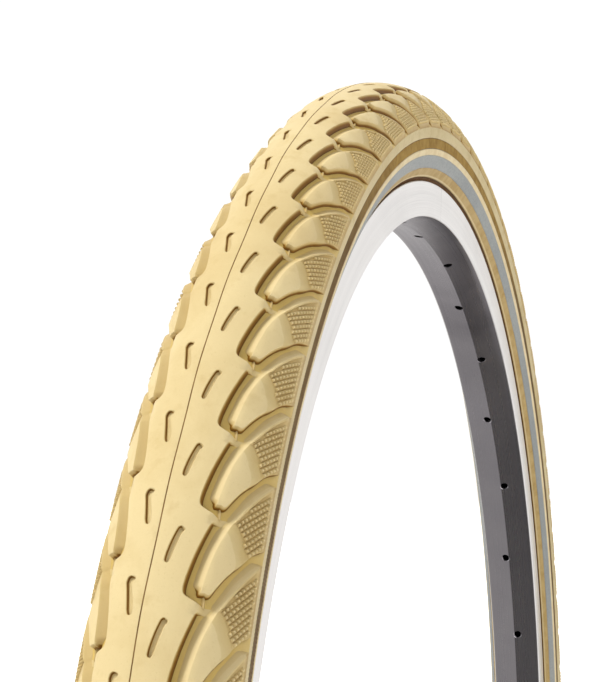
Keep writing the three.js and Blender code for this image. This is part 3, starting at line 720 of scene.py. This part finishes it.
def thread_stem():
    rows = []; n = 72; t = np.arange(n) / n * TAU
    PITCH = 0.794
    for z, r in ((-312.30, 4.6), (-312.25, 5.5), (-312.0, 5.6), (-311.55, 5.6), (-311.45, 5.5), (-311.4, 3.95), (-311.0, 3.8), (-300.2, 3.8)):
        rows.append(circle(r, z, n))
    zz = np.arange(-300.0, -274.1, PITCH / 9)
    for z in zz:
        ph = ((z / PITCH - t / TAU) % 1.0)
        tri = np.abs(ph * 2 - 1)                       # 0..1
        f = np.clip((tri - 0.12) / 0.76, 0, 1)
        ends = min(1, (z + 300.0) / 0.9, (-273.95 - z) / 0.8); ends = max(0, ends)
        r = 3.83 - 0.50 * f * ends - (0.25 * (1 - min(1, (-273.7 - z) / 0.7)) if z > -274.4 else 0)
        rows.append(np.stack([r * np.cos(t), r * np.sin(t), np.full(n, z)], -1))
    for z, r in ((-273.85, 3.42), (-273.72, 3.22), (-273.72, 2.98), (-273.85, 2.86), (-280, 2.85), (-292.55, 2.85), (-292.6, 1.9), (-311.8, 1.9), (-312.2, 2.0), (-312.30, 2.1)):
        rows.append(circle(r, z, n))
    rows.append(rows[0])
    return rows_mesh("valve_stem_threaded", rows, cap0=False, cap1=False, smooth_angle=50)
stem = thread_stem()

def ribbed_cap():
    n = 240; t = np.arange(n) / n * TAU; rows = []
    def ribs(z, r, d):
        f = np.clip(np.cos(t * 20) * 1.6, -1, 1) * 0.5 + 0.5
        rr = r - d * (1 - f)
        return np.stack([rr * np.cos(t), rr * np.sin(t), np.full(n, z)], -1)
    for z, r, d in ((-282.05, 5.0, 0), (-282.18, 5.15, 0), (-282.18, 5.28, 0), (-282.05, 5.36, 0), (-281.3, 5.38, 0), (-281.1, 5.38, .0), (-280.95, 5.38, .28), (-280.6, 5.38, .36), (-278, 5.36, .36), (-275, 5.30, .36), (-273.6, 5.26, .34), (-273.1, 5.20, .22), (-272.8, 5.12, 0.04), (-272.4, 4.98, 0), (-271.95, 4.62, 0), (-271.6, 4.05, 0), (-271.38, 3.3, 0), (-271.26, 2.3, 0), (-271.21, 1.1, 0), (-271.2, .3, 0)):
        rows.append(ribs(z, r, d))
    outer = rows_mesh_rows(rows)
    return outer
def rows_mesh_rows(rows):
    n = rows[0].shape[0]; inner = []
    for z, r in ((-282.05, 4.45), (-281.7, 4.2), (-277, 4.2), (-272.75, 4.2), (-272.7, 4.1), (-272.7, 0.3)):
        inner.append(circle(r, z, n))
    allr = inner[::-1] + rows
    return rows_mesh("valve_cap_ribbed", allr, smooth_angle=38)
vcap = ribbed_cap()

def hex_ring(name, R, bore, z0, z1, cham, n=120, knurl=0):
    """hexagon ring with its corners turned down, bored through"""
    t = np.arange(n) / n * TAU
    ap = R * math.cos(math.pi / 6)
    k = ((t + math.pi / 6) % (math.pi / 3)) - math.pi / 6
    rh = ap / np.cos(k)                                 # flat-to-corner radius
    def row(z, lim): r = np.minimum(rh, lim); return np.stack([r * np.cos(t), r * np.sin(t), np.full(n, z)], -1)
    H = z1 - z0
    rows = [circle(bore, z0 + 0.35, n), circle(bore + 0.35, z0, n), row(z0, ap - 0.35), row(z0 + 0.10, ap - 0.02), row(z0 + cham * 0.6, ap + (R - ap) * 0.55), row(z0 + cham, R),
            row(z0 + H * 0.5, R), row(z1 - cham, R), row(z1 - cham * 0.6, ap + (R - ap) * 0.55), row(z1 - 0.10, ap - 0.02), row(z1, ap - 0.35), circle(bore + 0.35, z1, n), circle(bore, z1 - 0.35, n), circle(bore, z0 + 0.35, n)]
    return rows_mesh(name, rows, cap0=False, cap1=False, smooth_angle=22)
nut = hex_ring("rim_nut_hex", 6.9, 4.2, -298.2, -294.5, 0.55)

def washer():
    n = 120
    rows = [circle(r, z, n) for z, r in ((-298.62, 4.2), (-298.5, 4.32), (-298.5, 6.0), (-298.56, 6.14), (-298.7, 6.2), (-299.0, 6.2), (-299.14, 6.14), (-299.2, 6.0), (-299.2, 4.32), (-299.08, 4.2), (-298.62, 4.2))]
    return rows_mesh("rim_washer_round", rows, cap0=False, cap1=False)
wash = washer()

# ---------------------------------------------------------------- materials
def lin(r, g, b):
    f = lambda c: (c / 255 / 12.92) if c / 255 <= 0.04045 else ((c / 255 + 0.055) / 1.055) ** 2.4
    return (f(r), f(g), f(b), 1.0)

class Mat:
    """a small builder for node materials"""
    def __init__(self, name):
        self.m = bpy.data.materials.new(name); self.m.use_nodes = True
        self.t = self.m.node_tree; self.b = self.t.nodes["Principled BSDF"]
    def n(self, kind, ins=None, **props):
        x = self.t.nodes.new(kind)
        for k, v in props.items(): setattr(x, k, v)
        for k, v in (ins or {}).items(): self.put(x, k, v)
        return x
    def put(self, x, k, v):
        s = x.inputs[k]
        if isinstance(v, bpy.types.NodeSocket): self.t.links.new(v, s)
        elif isinstance(v, bpy.types.Node): self.t.links.new(v.outputs[0], s)
        else: s.default_value = v
    def math(self, op, a, b=None, clamp=False):
        x = self.t.nodes.new("ShaderNodeMath"); x.operation = op; x.use_clamp = clamp
        self.put(x, 0, a)
        if b is not None: self.put(x, 1, b)
        return x.outputs[0]
    def coords(self): return self.n("ShaderNodeTexCoord").outputs["Object"]
    def polar(self):
        """angle round the axle, radius and y, in radians and metres"""
        x = self.n("ShaderNodeSeparateXYZ", {0: self.coords()})
        X, Y, Z = x.outputs
        r = self.math("SQRT", self.math("ADD", self.math("MULTIPLY", X, X), self.math("MULTIPLY", Z, Z)))
        return self.math("ARCTAN2", Z, X), r, Y
    def vec(self, x, y, z): return self.n("ShaderNodeCombineXYZ", {0: x, 1: y, 2: z}).outputs[0]
    def noise(self, vec, scale, detail=3.0, rough=0.55, dist=0.0):
        return self.n("ShaderNodeTexNoise", {"Vector": vec, "Scale": scale, "Detail": detail, "Roughness": rough, "Distortion": dist}).outputs[0]
    def ramp(self, fac, stops):
        x = self.n("ShaderNodeValToRGB", {0: fac}); e = x.color_ramp.elements
        while len(e) < len(stops): e.new(0.5)
        for q, (p, c) in zip(e, stops): q.position = p; q.color = c if len(c) == 4 else (*c, 1)
        return x.outputs[0]
    def remap(self, v, a, b, c=0.0, d=1.0):
        return self.n("ShaderNodeMapRange", {0: v, 1: a, 2: b, 3: c, 4: d}).outputs[0]
    def mix(self, f, a, b, mode="MIX"):
        x = self.t.nodes.new("ShaderNodeMix"); x.data_type = "RGBA"; x.blend_type = mode; x.clamp_result = False
        for i, v in ((0, f), (6, a), (7, b)):
            if isinstance(v, bpy.types.NodeSocket): self.t.links.new(v, x.inputs[i])
            else: x.inputs[i].default_value = v
        return x.outputs[2]
    def bump(self, height, strength, dist, normal=None):
        x = self.n("ShaderNodeBump", {"Height": height, "Strength": strength, "Distance": dist})
        if normal is not None: self.t.links.new(normal, x.inputs["Normal"])
        return x.outputs[0]
    def attr(self, name): return self.n("ShaderNodeAttribute", attribute_name=name).outputs["Fac"]
    def set(self, **k):
        for a, v in k.items(): self.put(self.b, a.replace("_", " "), v)
        return self.m
    def put_b(self, k, v): self.put(self.b, k, v)

def occlusion(m, dist, col, shade, power=1.0, lo=0.25, hi=0.95):
    """painted shade: the colour darkened towards shade in corners no wider than dist, by the ambient occlusion node"""
    ao = m.n("ShaderNodeAmbientOcclusion", {"Distance": dist}, samples=8).outputs["AO"]
    return m.mix(m.math("MULTIPLY", m.remap(ao, hi, lo, 0, 1), power), col, shade)

def tread_mat(name, floor=False):
    m = Mat(name); P = m.coords()
    big = m.noise(P, 9, 4, 0.6); mid = m.noise(P, 120, 4, 0.6); fine = m.noise(P, 1800, 3, 0.6); cloud = m.noise(P, 34, 5, 0.62, 0.4)
    base = m.ramp(big, [(0.34, lin(218, 197, 146)), (0.5, lin(223, 203, 153)), (0.68, lin(214, 191, 138))])
    base = m.mix(m.remap(cloud, 0.48, 0.72, 0, 0.45), base, lin(200, 174, 116))
    base = m.mix(m.remap(mid, 0.56, 0.75, 0, 0.35), base, lin(190, 162, 102))
    base = m.mix(m.remap(fine, 0.60, 0.78, 0, 0.22), base, lin(172, 142, 86))
    if not floor:
        h = m.attr("h")
        # painted shade: the tone attribute h darkens and warms the colour towards the groove floors, on the block's
        # crescent, on walls that face away from the key and in the knurl's hollows
        base = m.mix(m.remap(h, -0.06, -0.16, 0, 0.34), base, lin(190, 164, 98))
        base = m.mix(m.remap(h, -0.20, -0.80, 0, 0.30), base, lin(176, 142, 70))
        base = m.mix(m.remap(h, -0.85, -1.3, 0, 0.9), base, lin(160, 122, 46))
        base = m.mix(m.remap(h, -1.1, -1.65, 0, 0.95), base, lin(118, 76, 6))
        base = m.mix(m.remap(h, -1.85, -2.2, 0, 0.8), base, lin(64, 40, 4))
        # painted highlight: a tone above zero lightens the slopes that face the crown and the studs' tops
        base = m.mix(m.remap(h, 0.02, 0.2, 0, 0.7), base, lin(236, 217, 166))
    else:
        # painted shade: the groove floor is mixed towards a darker golden colour, less so where it runs out on the
        # shoulder
        th, r, y = m.polar()
        base = m.mix(m.remap(m.math("ABSOLUTE", y), 0.0195, 0.0212, 0.9, 0.6), base, lin(204, 174, 92))
    # painted shade gathered in the corners
    base = occlusion(m, 0.0017 if floor else 0.0011, base, lin(112, 76, 12), 0.75 if floor else 0.6, 0.2, 0.85)
    m.put_b("Base Color", base)
    m.put_b("Roughness", m.remap(mid, 0.3, 0.7, 0.46, 0.62))
    m.put_b("Specular IOR Level", 0.38)
    nb = m.bump(m.noise(P, 900, 4, 0.65), 0.22, 0.00020)
    nb = m.bump(m.noise(P, 140, 3, 0.5), 0.25, 0.00045, nb)
    m.put_b("Normal", nb)
    return m.m

def sidewall_mat(name):
    m = Mat(name); th, r, y = m.polar()
    O = m.coords()
    c1 = m.noise(O, 14, 4, 0.6); c2 = m.noise(O, 160, 4, 0.62); c3 = m.noise(O, 2400, 2, 0.5)
    # shoulder band
    col = m.ramp(c1, [(0.35, lin(204, 186, 140)), (0.55, lin(212, 195, 150)), (0.7, lin(196, 176, 126))])
    col = m.mix(m.remap(c2, 0.5, 0.75, 0, 0.4), col, lin(178, 154, 106))
    # dynamo track: a darker, more golden colour
    track = m.math("MULTIPLY", m.remap(r, 0.33445, 0.33425, 0, 1), m.remap(r, 0.32990, 0.33006, 0, 1))
    col = m.mix(track, col, m.mix(m.remap(c2, 0.35, 0.65, 0, 1), lin(166, 134, 62), lin(140, 108, 44)))
    # painted shade: the track darker away from the top of the wheel, where it faces away from the light
    track_painted_shade = m.remap(m.math("ABSOLUTE", m.math("SUBTRACT", th, math.pi / 2)), 0.35, 0.62, 0, 0.75)
    col = m.mix(m.math("MULTIPLY", track, track_painted_shade), col, lin(82, 56, 20))
    # raised line between track and band, painted lighter as a highlight where it catches the light from above
    ridge = m.math("MULTIPLY", m.remap(r, 0.33004, 0.32988, 0, 1), m.remap(r, 0.32730, 0.32745, 0, 1))
    col = m.mix(ridge, col, m.mix(m.remap(c2, 0.4, 0.7, 0, 1), lin(226, 208, 166), lin(214, 192, 146)))
    # lower wall, golden and slightly mottled
    low = m.remap(r, 0.32232, 0.32222, 0, 1)
    col = m.mix(low, col, m.mix(m.remap(c2, 0.4, 0.7, 0, 1), lin(184, 156, 98), lin(168, 138, 78)))
    lip = m.math("MULTIPLY", m.remap(r, 0.3196, 0.3193, 0, 1), m.remap(m.math("ABSOLUTE", y), 0.0150, 0.0153, 0, 1))
    col = m.mix(lip, col, lin(206, 186, 140))
    # the bead seat beside the rim flange: dark brown, partly the bead cloth's colour and partly painted shade of the
    # gap
    seat = m.math("MULTIPLY", m.remap(m.math("ABSOLUTE", y), 0.0150, 0.0146, 0, 1), m.remap(r, 0.3210, 0.3200, 0, 1))
    col = m.mix(seat, col, lin(92, 60, 22))
    col = m.mix(m.remap(c3, 0.55, 0.75, 0, 0.2), col, lin(130, 100, 56))
    # painted shade gathered in the corners
    col = occlusion(m, 0.0014, col, lin(96, 64, 16), 0.7)
    m.put_b("Base Color", col)
    m.put_b("Roughness", m.remap(c2, 0.3, 0.7, 0.48, 0.64)); m.put_b("Specular IOR Level", 0.4)
    nb = m.bump(m.noise(O, 1100, 3, 0.6), 0.2, 0.00015)
    nb = m.bump(m.noise(O, 90, 3, 0.5), 0.3, 0.0006, nb)
    m.put_b("Normal", nb)
    return m.m

def stripe_mat(name):
    m = Mat(name); O = m.coords(); th, r, y = m.polar()
    # glass beads on an aluminium coat: fine sparkle, with faint cross lines
    bead = m.n("ShaderNodeTexVoronoi", {"Vector": O, "Scale": 4200.0}, feature="F1").outputs["Distance"]
    v = m.noise(O, 26, 4, 0.6); f = m.noise(O, 900, 3, 0.7)
    col = m.ramp(v, [(0.32, lin(138, 142, 141)), (0.52, lin(148, 152, 150)), (0.7, lin(158, 160, 156))])
    col = m.mix(m.remap(f, 0.45, 0.7, 0, 0.5), col, lin(136, 142, 146))
    col = m.mix(m.remap(bead, 0.1, 0.5, 0.22, 0), col, lin(205, 209, 208))
    cross = m.math("PINGPONG", m.math("MULTIPLY", th, 330.0), 1.0)
    col = m.mix(m.remap(cross, 0.93, 1.0, 0, 0.25), col, lin(120, 124, 126))
    m.put_b("Base Color", col); m.put_b("Metallic", 0.45); m.put_b("Roughness", m.remap(f, 0.3, 0.7, 0.36, 0.55))
    m.put_b("Normal", m.bump(bead, 0.18, 0.00012))
    return m.m

def rim_mat(name, hub=False):
    m = Mat(name); th, r, y = m.polar(); O = m.coords()
    # turned and brushed round the wheel: streaks very long along th, very fine across
    P = m.vec(m.math("MULTIPLY", th, 0.9), m.math("MULTIPLY", r, 3200.0), m.math("MULTIPLY", y, 3200.0))
    s1 = m.noise(P, 1.0, 2, 0.5); P2 = m.vec(m.math("MULTIPLY", th, 6.0), m.math("MULTIPLY", r, 9000.0), m.math("MULTIPLY", y, 9000.0)); s2 = m.noise(P2, 1.0, 2, 0.6)
    cloud = m.noise(O, 30, 4, 0.6)
    ay = m.math("ABSOLUTE", y)
    col = m.ramp(s1, [(0.3, lin(233, 232, 230)), (0.5, lin(239, 238, 236)), (0.7, lin(244, 243, 241))])
    col = m.mix(m.remap(cloud, 0.5, 0.75, 0, 0.30), col, lin(218, 217, 215))
    # the spoke side is painted darker on the near half of the wheel and lighter on the far half, painted shade and
    # painted light over its anodised mauve tint
    spoke = m.remap(ay, 0.01335, 0.0130, 0, 1); spoke = m.math("MULTIPLY", spoke, m.remap(r, 0.3034, 0.3028, 0, 1))
    shade = m.mix(m.remap(m.math("ABSOLUTE", th), 2.08, 2.32, 0, 1), m.ramp(cloud, [(0.3, lin(118, 115, 119)), (0.7, lin(136, 132, 136))]), m.ramp(cloud, [(0.3, lin(206, 202, 208)), (0.7, lin(218, 214, 218))]))
    col = m.mix(spoke, col, shade)
    # painted shade: the spoke holes' walls and bottoms are dark, where only shadow lies
    inside = m.remap(r, 0.30175, 0.3023, 0, 1); inside = m.math("MULTIPLY", inside, m.remap(ay, 0.0050, 0.0046, 0, 1))
    inside = m.math("MULTIPLY", inside, m.remap(r, 0.3085, 0.3075, 0, 1))
    col = m.mix(inside, col, lin(44, 46, 62))
    # butt joint of the extrusion, a hairline across the top
    seam = m.math("MULTIPLY", m.remap(m.math("ABSOLUTE", m.math("SUBTRACT", th, math.pi / 2)), 0.00035, 0.0002, 0, 0.8), 1.0)
    col = m.mix(seam, col, lin(70, 70, 72))
    # wear line left by the brake pads
    wear = m.math("MULTIPLY", m.remap(r, 0.3055, 0.3065, 0, 1), m.remap(r, 0.3140, 0.3130, 0, 1)); wear = m.math("MULTIPLY", wear, m.remap(s2, 0.52, 0.72, 0, 0.35))
    col = m.mix(wear, col, lin(176, 176, 178))
    m.put_b("Base Color", col); m.put_b("Metallic", 1.0)
    rough = m.math("ADD", m.remap(s1, 0.3, 0.7, 0.30, 0.37), m.math("MULTIPLY", spoke, -0.04))
    m.put_b("Roughness", rough); m.put_b("Anisotropic", 0.5)
    tan = m.n("ShaderNodeTangent", direction_type="RADIAL", axis="Y").outputs[0]; m.put_b("Tangent", tan)
    nb = m.bump(s1, 0.012, 0.00005); nb = m.bump(s2, 0.02, 0.00004, nb)
    m.put_b("Normal", nb)
    return m.m

def simple_mat(name, a, b, rough=(0.5, 0.65), metallic=0.0, scale=200.0, bump=0.15, bdist=0.0002, spec=0.4, dark=None):
    m = Mat(name); O = m.coords()
    n1 = m.noise(O, scale * 0.2, 4, 0.6); n2 = m.noise(O, scale * 4, 3, 0.6)
    col = m.mix(m.remap(n1, 0.35, 0.65, 0, 1), lin(*a), lin(*b))
    if dark: col = m.mix(m.remap(n2, 0.55, 0.75, 0, 0.5), col, lin(*dark))
    m.put_b("Base Color", col); m.put_b("Metallic", metallic); m.put_b("Roughness", m.remap(n2, 0.3, 0.7, *rough)); m.put_b("Specular IOR Level", spec)
    m.put_b("Normal", m.bump(n2, bump, bdist))
    return m.m

def weave_mat(name, a, b, pitch=0.0009, rough=0.8, polar=True):
    """woven cloth laid round the wheel"""
    m = Mat(name); th, r, y = m.polar(); k = math.pi * 2 / pitch
    u = m.math("SINE", m.math("MULTIPLY", th, 0.31 * k)); v = m.math("SINE", m.math("MULTIPLY", m.math("ADD", m.math("MULTIPLY", r, 1.0), y), k))
    w = m.math("MULTIPLY", u, v); n = m.noise(m.coords(), 60, 4, 0.6)
    col = m.mix(m.remap(w, -0.4, 0.4, 0, 1), lin(*a), lin(*b)); col = m.mix(m.remap(n, 0.5, 0.75, 0, 0.35), col, lin(*[int(c * .7) for c in a]))
    m.put_b("Base Color", col); m.put_b("Roughness", rough); m.put_b("Normal", m.bump(w, 0.5, 0.0002))
    return m.m

def turned_mat(name, a, b, rough=(0.2, 0.34), metallic=1.0):
    """lathe-turned metal on the valve's own axis"""
    m = Mat(name); x = m.n("ShaderNodeSeparateXYZ", {0: m.coords()}).outputs
    rr = m.math("SQRT", m.math("ADD", m.math("MULTIPLY", x[0], x[0]), m.math("MULTIPLY", x[1], x[1])))
    P = m.vec(m.math("MULTIPLY", rr, 9000.0), m.math("MULTIPLY", x[2], 9000.0), m.math("MULTIPLY", m.math("ARCTAN2", x[1], x[0]), 0.6))
    s1 = m.noise(P, 1.0, 3, 0.6); c = m.noise(m.coords(), 380, 4, 0.6)
    col = m.mix(m.remap(s1, 0.3, 0.7, 0, 1), lin(*a), lin(*b)); col = m.mix(m.remap(c, 0.52, 0.75, 0, 0.4), col, lin(*[int(q * .72) for q in a]))
    m.put_b("Base Color", col); m.put_b("Metallic", metallic); m.put_b("Roughness", m.remap(c, 0.3, 0.7, *rough)); m.put_b("Normal", m.bump(s1, 0.12, 0.00004))
    return m.m

M_tread = tread_mat("rubber_tread"); M_floor = tread_mat("rubber_groove_floor", True)
M_side = sidewall_mat("rubber_sidewall"); M_stripe = stripe_mat("reflective_film")
M_seam = simple_mat("rubber_parting_line", (104, 74, 30), (136, 102, 52), (0.55, 0.7), scale=700, dark=(74, 50, 18))
M_rim = rim_mat("aluminium_brushed")
M_cloth = weave_mat("bead_cloth_weave", (128, 88, 44), (88, 56, 24), 0.0008, 0.85)
M_tape = weave_mat("rim_tape_weave", (236, 236, 230), (210, 210, 202), 0.0007, 0.8)
M_cord = weave_mat("casing_cord", (206, 196, 172), (176, 164, 136), 0.0011, 0.7)
M_butyl = simple_mat("butyl_rubber", (30, 30, 31), (40, 40, 41), (0.5, 0.7), scale=160, bump=0.25, dark=(22, 22, 22))
M_steel = turned_mat("steel_wire", (176, 178, 182), (206, 208, 210))
M_brass = turned_mat("brass_turned", (196, 160, 84), (222, 188, 112))
M_nickel = turned_mat("nickel_plate", (196, 194, 188), (224, 222, 216))
M_seal = simple_mat("seal_rubber", (44, 42, 40), (58, 55, 52), (0.55, 0.7), scale=900, bump=0.2)
M_cap = simple_mat("cap_plastic", (24, 24, 26), (34, 34, 36), (0.34, 0.5), scale=900, bump=0.22, bdist=0.00012, spec=0.5, dark=(15, 15, 16))
M_alu = simple_mat("aluminium_sleeve", (176, 178, 180), (200, 202, 204), (0.3, 0.45), 1.0, 300, 0.1, 0.0001)

# ---------------------------------------------------------------- who stands for what
PIECES = [
    (crown, "wheel", M_tread, "tread_rubber", ["tread"]), (shoulder_r, "wheel", M_tread, "tread_rubber", ["tread"]), (shoulder_l, "wheel", M_tread, "tread_rubber", ["tread"]),
    (studs_r, "wheel", M_tread, "tread_rubber", ["tread"]), (studs_l, "wheel", M_tread, "tread_rubber", ["tread"]), (floor_ring, "wheel", M_floor, "tread_rubber", ["tread"]),
    (seam, "wheel", M_seam, "tread_rubber", ["tread"]),
    (side_r, "wheel", M_side, "sidewall_rubber", ["sidewall_right"]), (side_l, "wheel", M_side, "sidewall_rubber", ["sidewall_left"]),
    (ribs_r, "wheel", M_side, "sidewall_rubber", ["sidewall_right"]), (ribs_l, "wheel", M_side, "sidewall_rubber", ["sidewall_left"]),
    (band_r, "wheel", M_side, "sidewall_rubber", ["sidewall_right"]), (band_l, "wheel", M_side, "sidewall_rubber", ["sidewall_left"]),
    (casing_ring, "wheel", M_cord, "cord", ["casing"]), (belt_ring, "wheel", M_cord, "cord", ["breaker_belt"]), (tube_ring, "wheel", M_butyl, "butyl", ["inner_tube"]),
    (stripe_r, "wheel", M_stripe, "reflective_band", ["reflective_stripe_right"]), (stripe_l, "wheel", M_stripe, "reflective_band", ["reflective_stripe_left"]),
    (chafer_r, "wheel", M_cloth, "chafer_cloth", ["chafer_right"]), (chafer_l, "wheel", M_cloth, "chafer_cloth", ["chafer_left"]),
    (rim, "wheel", M_rim, "rim_aluminium", ["rim"]),
    (stem, "wheel", M_nickel, "brass", ["valve_stem"]),
    (vcap, "cap", M_cap, "cap_plastic", ["valve_cap"]),
    (nut, "nut", M_nickel, "nickel", ["rim_nut"]), (wash, "washer", M_nickel, "nickel", ["rim_washer"]),
]
for ob, body, mat, sl, nodes in PIECES:
    ob.data.materials.clear(); ob.data.materials.append(mat)
    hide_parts(*nodes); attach(ob, body)

KEEP = {"bead_wire_right": M_steel, "bead_wire_left": M_steel, "rim_tape": M_tape, "rim_joint_sleeve": M_alu,
        "valve_pad": M_butyl, "valve_core_body": M_brass, "valve_core_gasket": M_seal, "valve_core_spring": M_steel, "valve_core_pin": M_brass, "valve_core_seal": M_seal, "valve_cap_seal": M_seal}
for name, mat in KEEP.items():
    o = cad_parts[name]
    if len(o.material_slots) == 0: o.data.materials.append(mat)
    else:
        for q in o.material_slots: q.material = mat

# ---------------------------------------------------------------- floor, light, camera
def plane(name, size, z):
    n = 24; g = np.linspace(-size, size, n); X, Y = np.meshgrid(g, g); V = np.column_stack([X.ravel(), Y.ravel(), np.full(n * n, z)]) * 1000
    q = [(i * n + j, i * n + j + 1, (i + 1) * n + j + 1, (i + 1) * n + j) for i in range(n - 1) for j in range(n - 1)]
    return add_mesh(name, V, None, quads=np.array(q))
low0, high0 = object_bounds()
floor = plane("studio_floor", 9.0, low0[2] - 0.0006)
fm = Mat("studio_floor_pale"); fn = fm.noise(fm.coords(), 3.0, 4, 0.5)
FLOOR_GLOW = 0.55
fm.put_b("Base Color", fm.mix(fm.remap(fn, 0.3, 0.7, 0, 1), lin(243, 243, 242), lin(247, 247, 246))); fm.put_b("Roughness", 0.9); fm.put_b("Specular IOR Level", 0.1)
def env_gain(m, dirv):
    """brightness of the studio seen by reflections, from a direction: dark towards the camera's side, mid grey beyond it"""
    x = m.n("ShaderNodeSeparateXYZ", {0: dirv}).outputs
    right = m.n("ShaderNodeMapRange", {0: x[1], 1: -0.15, 2: 0.02, 3: 0.30, 4: 0.085}, interpolation_type="SMOOTHSTEP").outputs[0]
    left = m.n("ShaderNodeMapRange", {0: x[1], 1: -1.0, 2: -0.55, 3: 1.0, 4: 0.0}, interpolation_type="SMOOTHSTEP").outputs[0]
    far = m.n("ShaderNodeMapRange", {0: x[1], 1: 0.50, 2: 0.80, 3: 0.0, 4: 1.0}, interpolation_type="SMOOTHSTEP").outputs[0]
    back = m.n("ShaderNodeMapRange", {0: x[0], 1: -0.30, 2: -0.55, 3: 0.0, 4: 1.0}, interpolation_type="SMOOTHSTEP").outputs[0]
    g = m.math("MAXIMUM", m.math("MAXIMUM", right, left), m.math("MAXIMUM", far, back))
    return g
inc = fm.n("ShaderNodeNewGeometry").outputs["Incoming"]
flip = fm.n("ShaderNodeVectorMath", {0: inc, 1: (-1, -1, -1)}, operation="MULTIPLY").outputs[0]
lpf = fm.n("ShaderNodeLightPath").outputs
e_out = fm.n("ShaderNodeEmission", {"Color": (1.0, 0.975, 0.965, 1), "Strength": env_gain(fm, flip)})
glow = fm.n("ShaderNodeEmission", {"Color": (1, 1, 1, 1), "Strength": fm.math("MULTIPLY", lpf["Is Camera Ray"], FLOOR_GLOW)})
add = fm.n("ShaderNodeAddShader", {0: fm.b, 1: glow})
mixf = fm.n("ShaderNodeMixShader", {0: lpf["Is Glossy Ray"], 1: add, 2: e_out})
outn = [q for q in fm.t.nodes if q.type == "OUTPUT_MATERIAL"][0]
fm.t.links.new(mixf.outputs[0], outn.inputs[0])
floor.data.materials.append(fm.m)

sc = bpy.context.scene
sc.view_settings.view_transform = "Standard"; sc.view_settings.look = "None"; sc.view_settings.exposure = 0.0; sc.view_settings.gamma = 1.0
w = bpy.data.worlds.new("studio"); sc.world = w; w.use_nodes = True
nt = w.node_tree; nt.nodes.clear()
out = nt.nodes.new("ShaderNodeOutputWorld"); mixs = nt.nodes.new("ShaderNodeMixShader"); mix2 = nt.nodes.new("ShaderNodeMixShader")
lp = nt.nodes.new("ShaderNodeLightPath"); cam_bg = nt.nodes.new("ShaderNodeBackground"); amb = nt.nodes.new("ShaderNodeBackground"); gl = nt.nodes.new("ShaderNodeBackground")
cam_bg.inputs[0].default_value = (1, 1, 1, 1); cam_bg.inputs[1].default_value = 1.05
tc = nt.nodes.new("ShaderNodeTexCoord")
def world_dot(d):
    x = nt.nodes.new("ShaderNodeVectorMath"); x.operation = "DOT_PRODUCT"; nt.links.new(tc.outputs["Generated"], x.inputs[0]); x.inputs[1].default_value = Vector(d).normalized(); return x.outputs["Value"]
def wramp(v, a, b, c, d):
    x = nt.nodes.new("ShaderNodeMapRange"); x.interpolation_type = "SMOOTHSTEP"; nt.links.new(v, x.inputs[0])
    for i, q in enumerate((a, b, c, d)): x.inputs[1 + i].default_value = q
    return x.outputs[0]
def wmul(a, b):
    x = nt.nodes.new("ShaderNodeMath"); x.operation = "MULTIPLY"; nt.links.new(a, x.inputs[0])
    if isinstance(b, float): x.inputs[1].default_value = b
    else: nt.links.new(b, x.inputs[1])
    return x.outputs[0]
AMB = 0.50
amb.inputs[0].default_value = (1.0, 0.99, 0.97, 1)
nt.links.new(wmul(wramp(world_dot((0, 0, 1)), -0.4, 0.9, 0.34, 1.32), AMB), amb.inputs[1])
gl.inputs[0].default_value = (1.0, 0.98, 0.97, 1)
wm = Mat.__new__(Mat); wm.t = nt
nt.links.new(env_gain(wm, tc.outputs["Generated"]), gl.inputs[1])
nt.links.new(lp.outputs["Is Camera Ray"], mixs.inputs[0]); nt.links.new(lp.outputs["Is Glossy Ray"], mix2.inputs[0])
nt.links.new(amb.outputs[0], mix2.inputs[1]); nt.links.new(gl.outputs[0], mix2.inputs[2])
nt.links.new(mix2.outputs[0], mixs.inputs[1]); nt.links.new(cam_bg.outputs[0], mixs.inputs[2]); nt.links.new(mixs.outputs[0], out.inputs[0])

def area_light(name, d, dist, size, power, color=(1, 1, 1), spec=1.0):
    l = bpy.data.lights.new(name, "AREA"); l.shape = "DISK"; l.size = size; l.energy = power; l.color = color; l.specular_factor = spec
    o = bpy.data.objects.new(name, l); sc.collection.objects.link(o)
    v = Vector(d).normalized(); target = Vector((0.2, 0.0, 0.05)); o.location = target + v * dist
    o.rotation_mode = "QUATERNION"; o.rotation_quaternion = v.to_track_quat("Z", "Y")
    return o
sun = bpy.data.lights.new("key", "SUN"); sun.energy = 2.8; sun.angle = math.radians(18); sun.color = (1.0, 0.985, 0.95)
so = bpy.data.objects.new("key", sun); sc.collection.objects.link(so)
so.rotation_mode = "QUATERNION"; so.rotation_quaternion = Vector((0.22, -0.50, 0.84)).to_track_quat("Z", "Y"); so.location = (1, -2, 2.5)
so.visible_glossy = False        # its reflection comes from the studio instead
area_light("fill", (0.25, 0.85, 0.45), 3.0, 2.0, 11)

yaw, pitch, roll = -0.2873574, 0.0485487, -0.0098980
fw = Vector((-math.cos(yaw) * math.cos(pitch), math.sin(yaw) * math.cos(pitch), math.sin(pitch)))
r_ = fw.cross(Vector((0, 0, 1))).normalized(); u_ = r_.cross(fw)
r2 = math.cos(roll) * r_ + math.sin(roll) * u_; u2 = -math.sin(roll) * r_ + math.cos(roll) * u_
cd = bpy.data.cameras.new("camera"); cam = bpy.data.objects.new("camera", cd); sc.collection.objects.link(cam)
R = Matrix((r2, u2, -fw)).transposed()
cam.rotation_mode = "QUATERNION"; cam.location = (0.6695513, 0.1454374, 0.2159961); cam.rotation_quaternion = R.to_quaternion()
cd.sensor_width = 36; cd.sensor_fit = "AUTO"; cd.lens = 80.417; cd.clip_start = 0.01; cd.clip_end = 50
sc.camera = cam
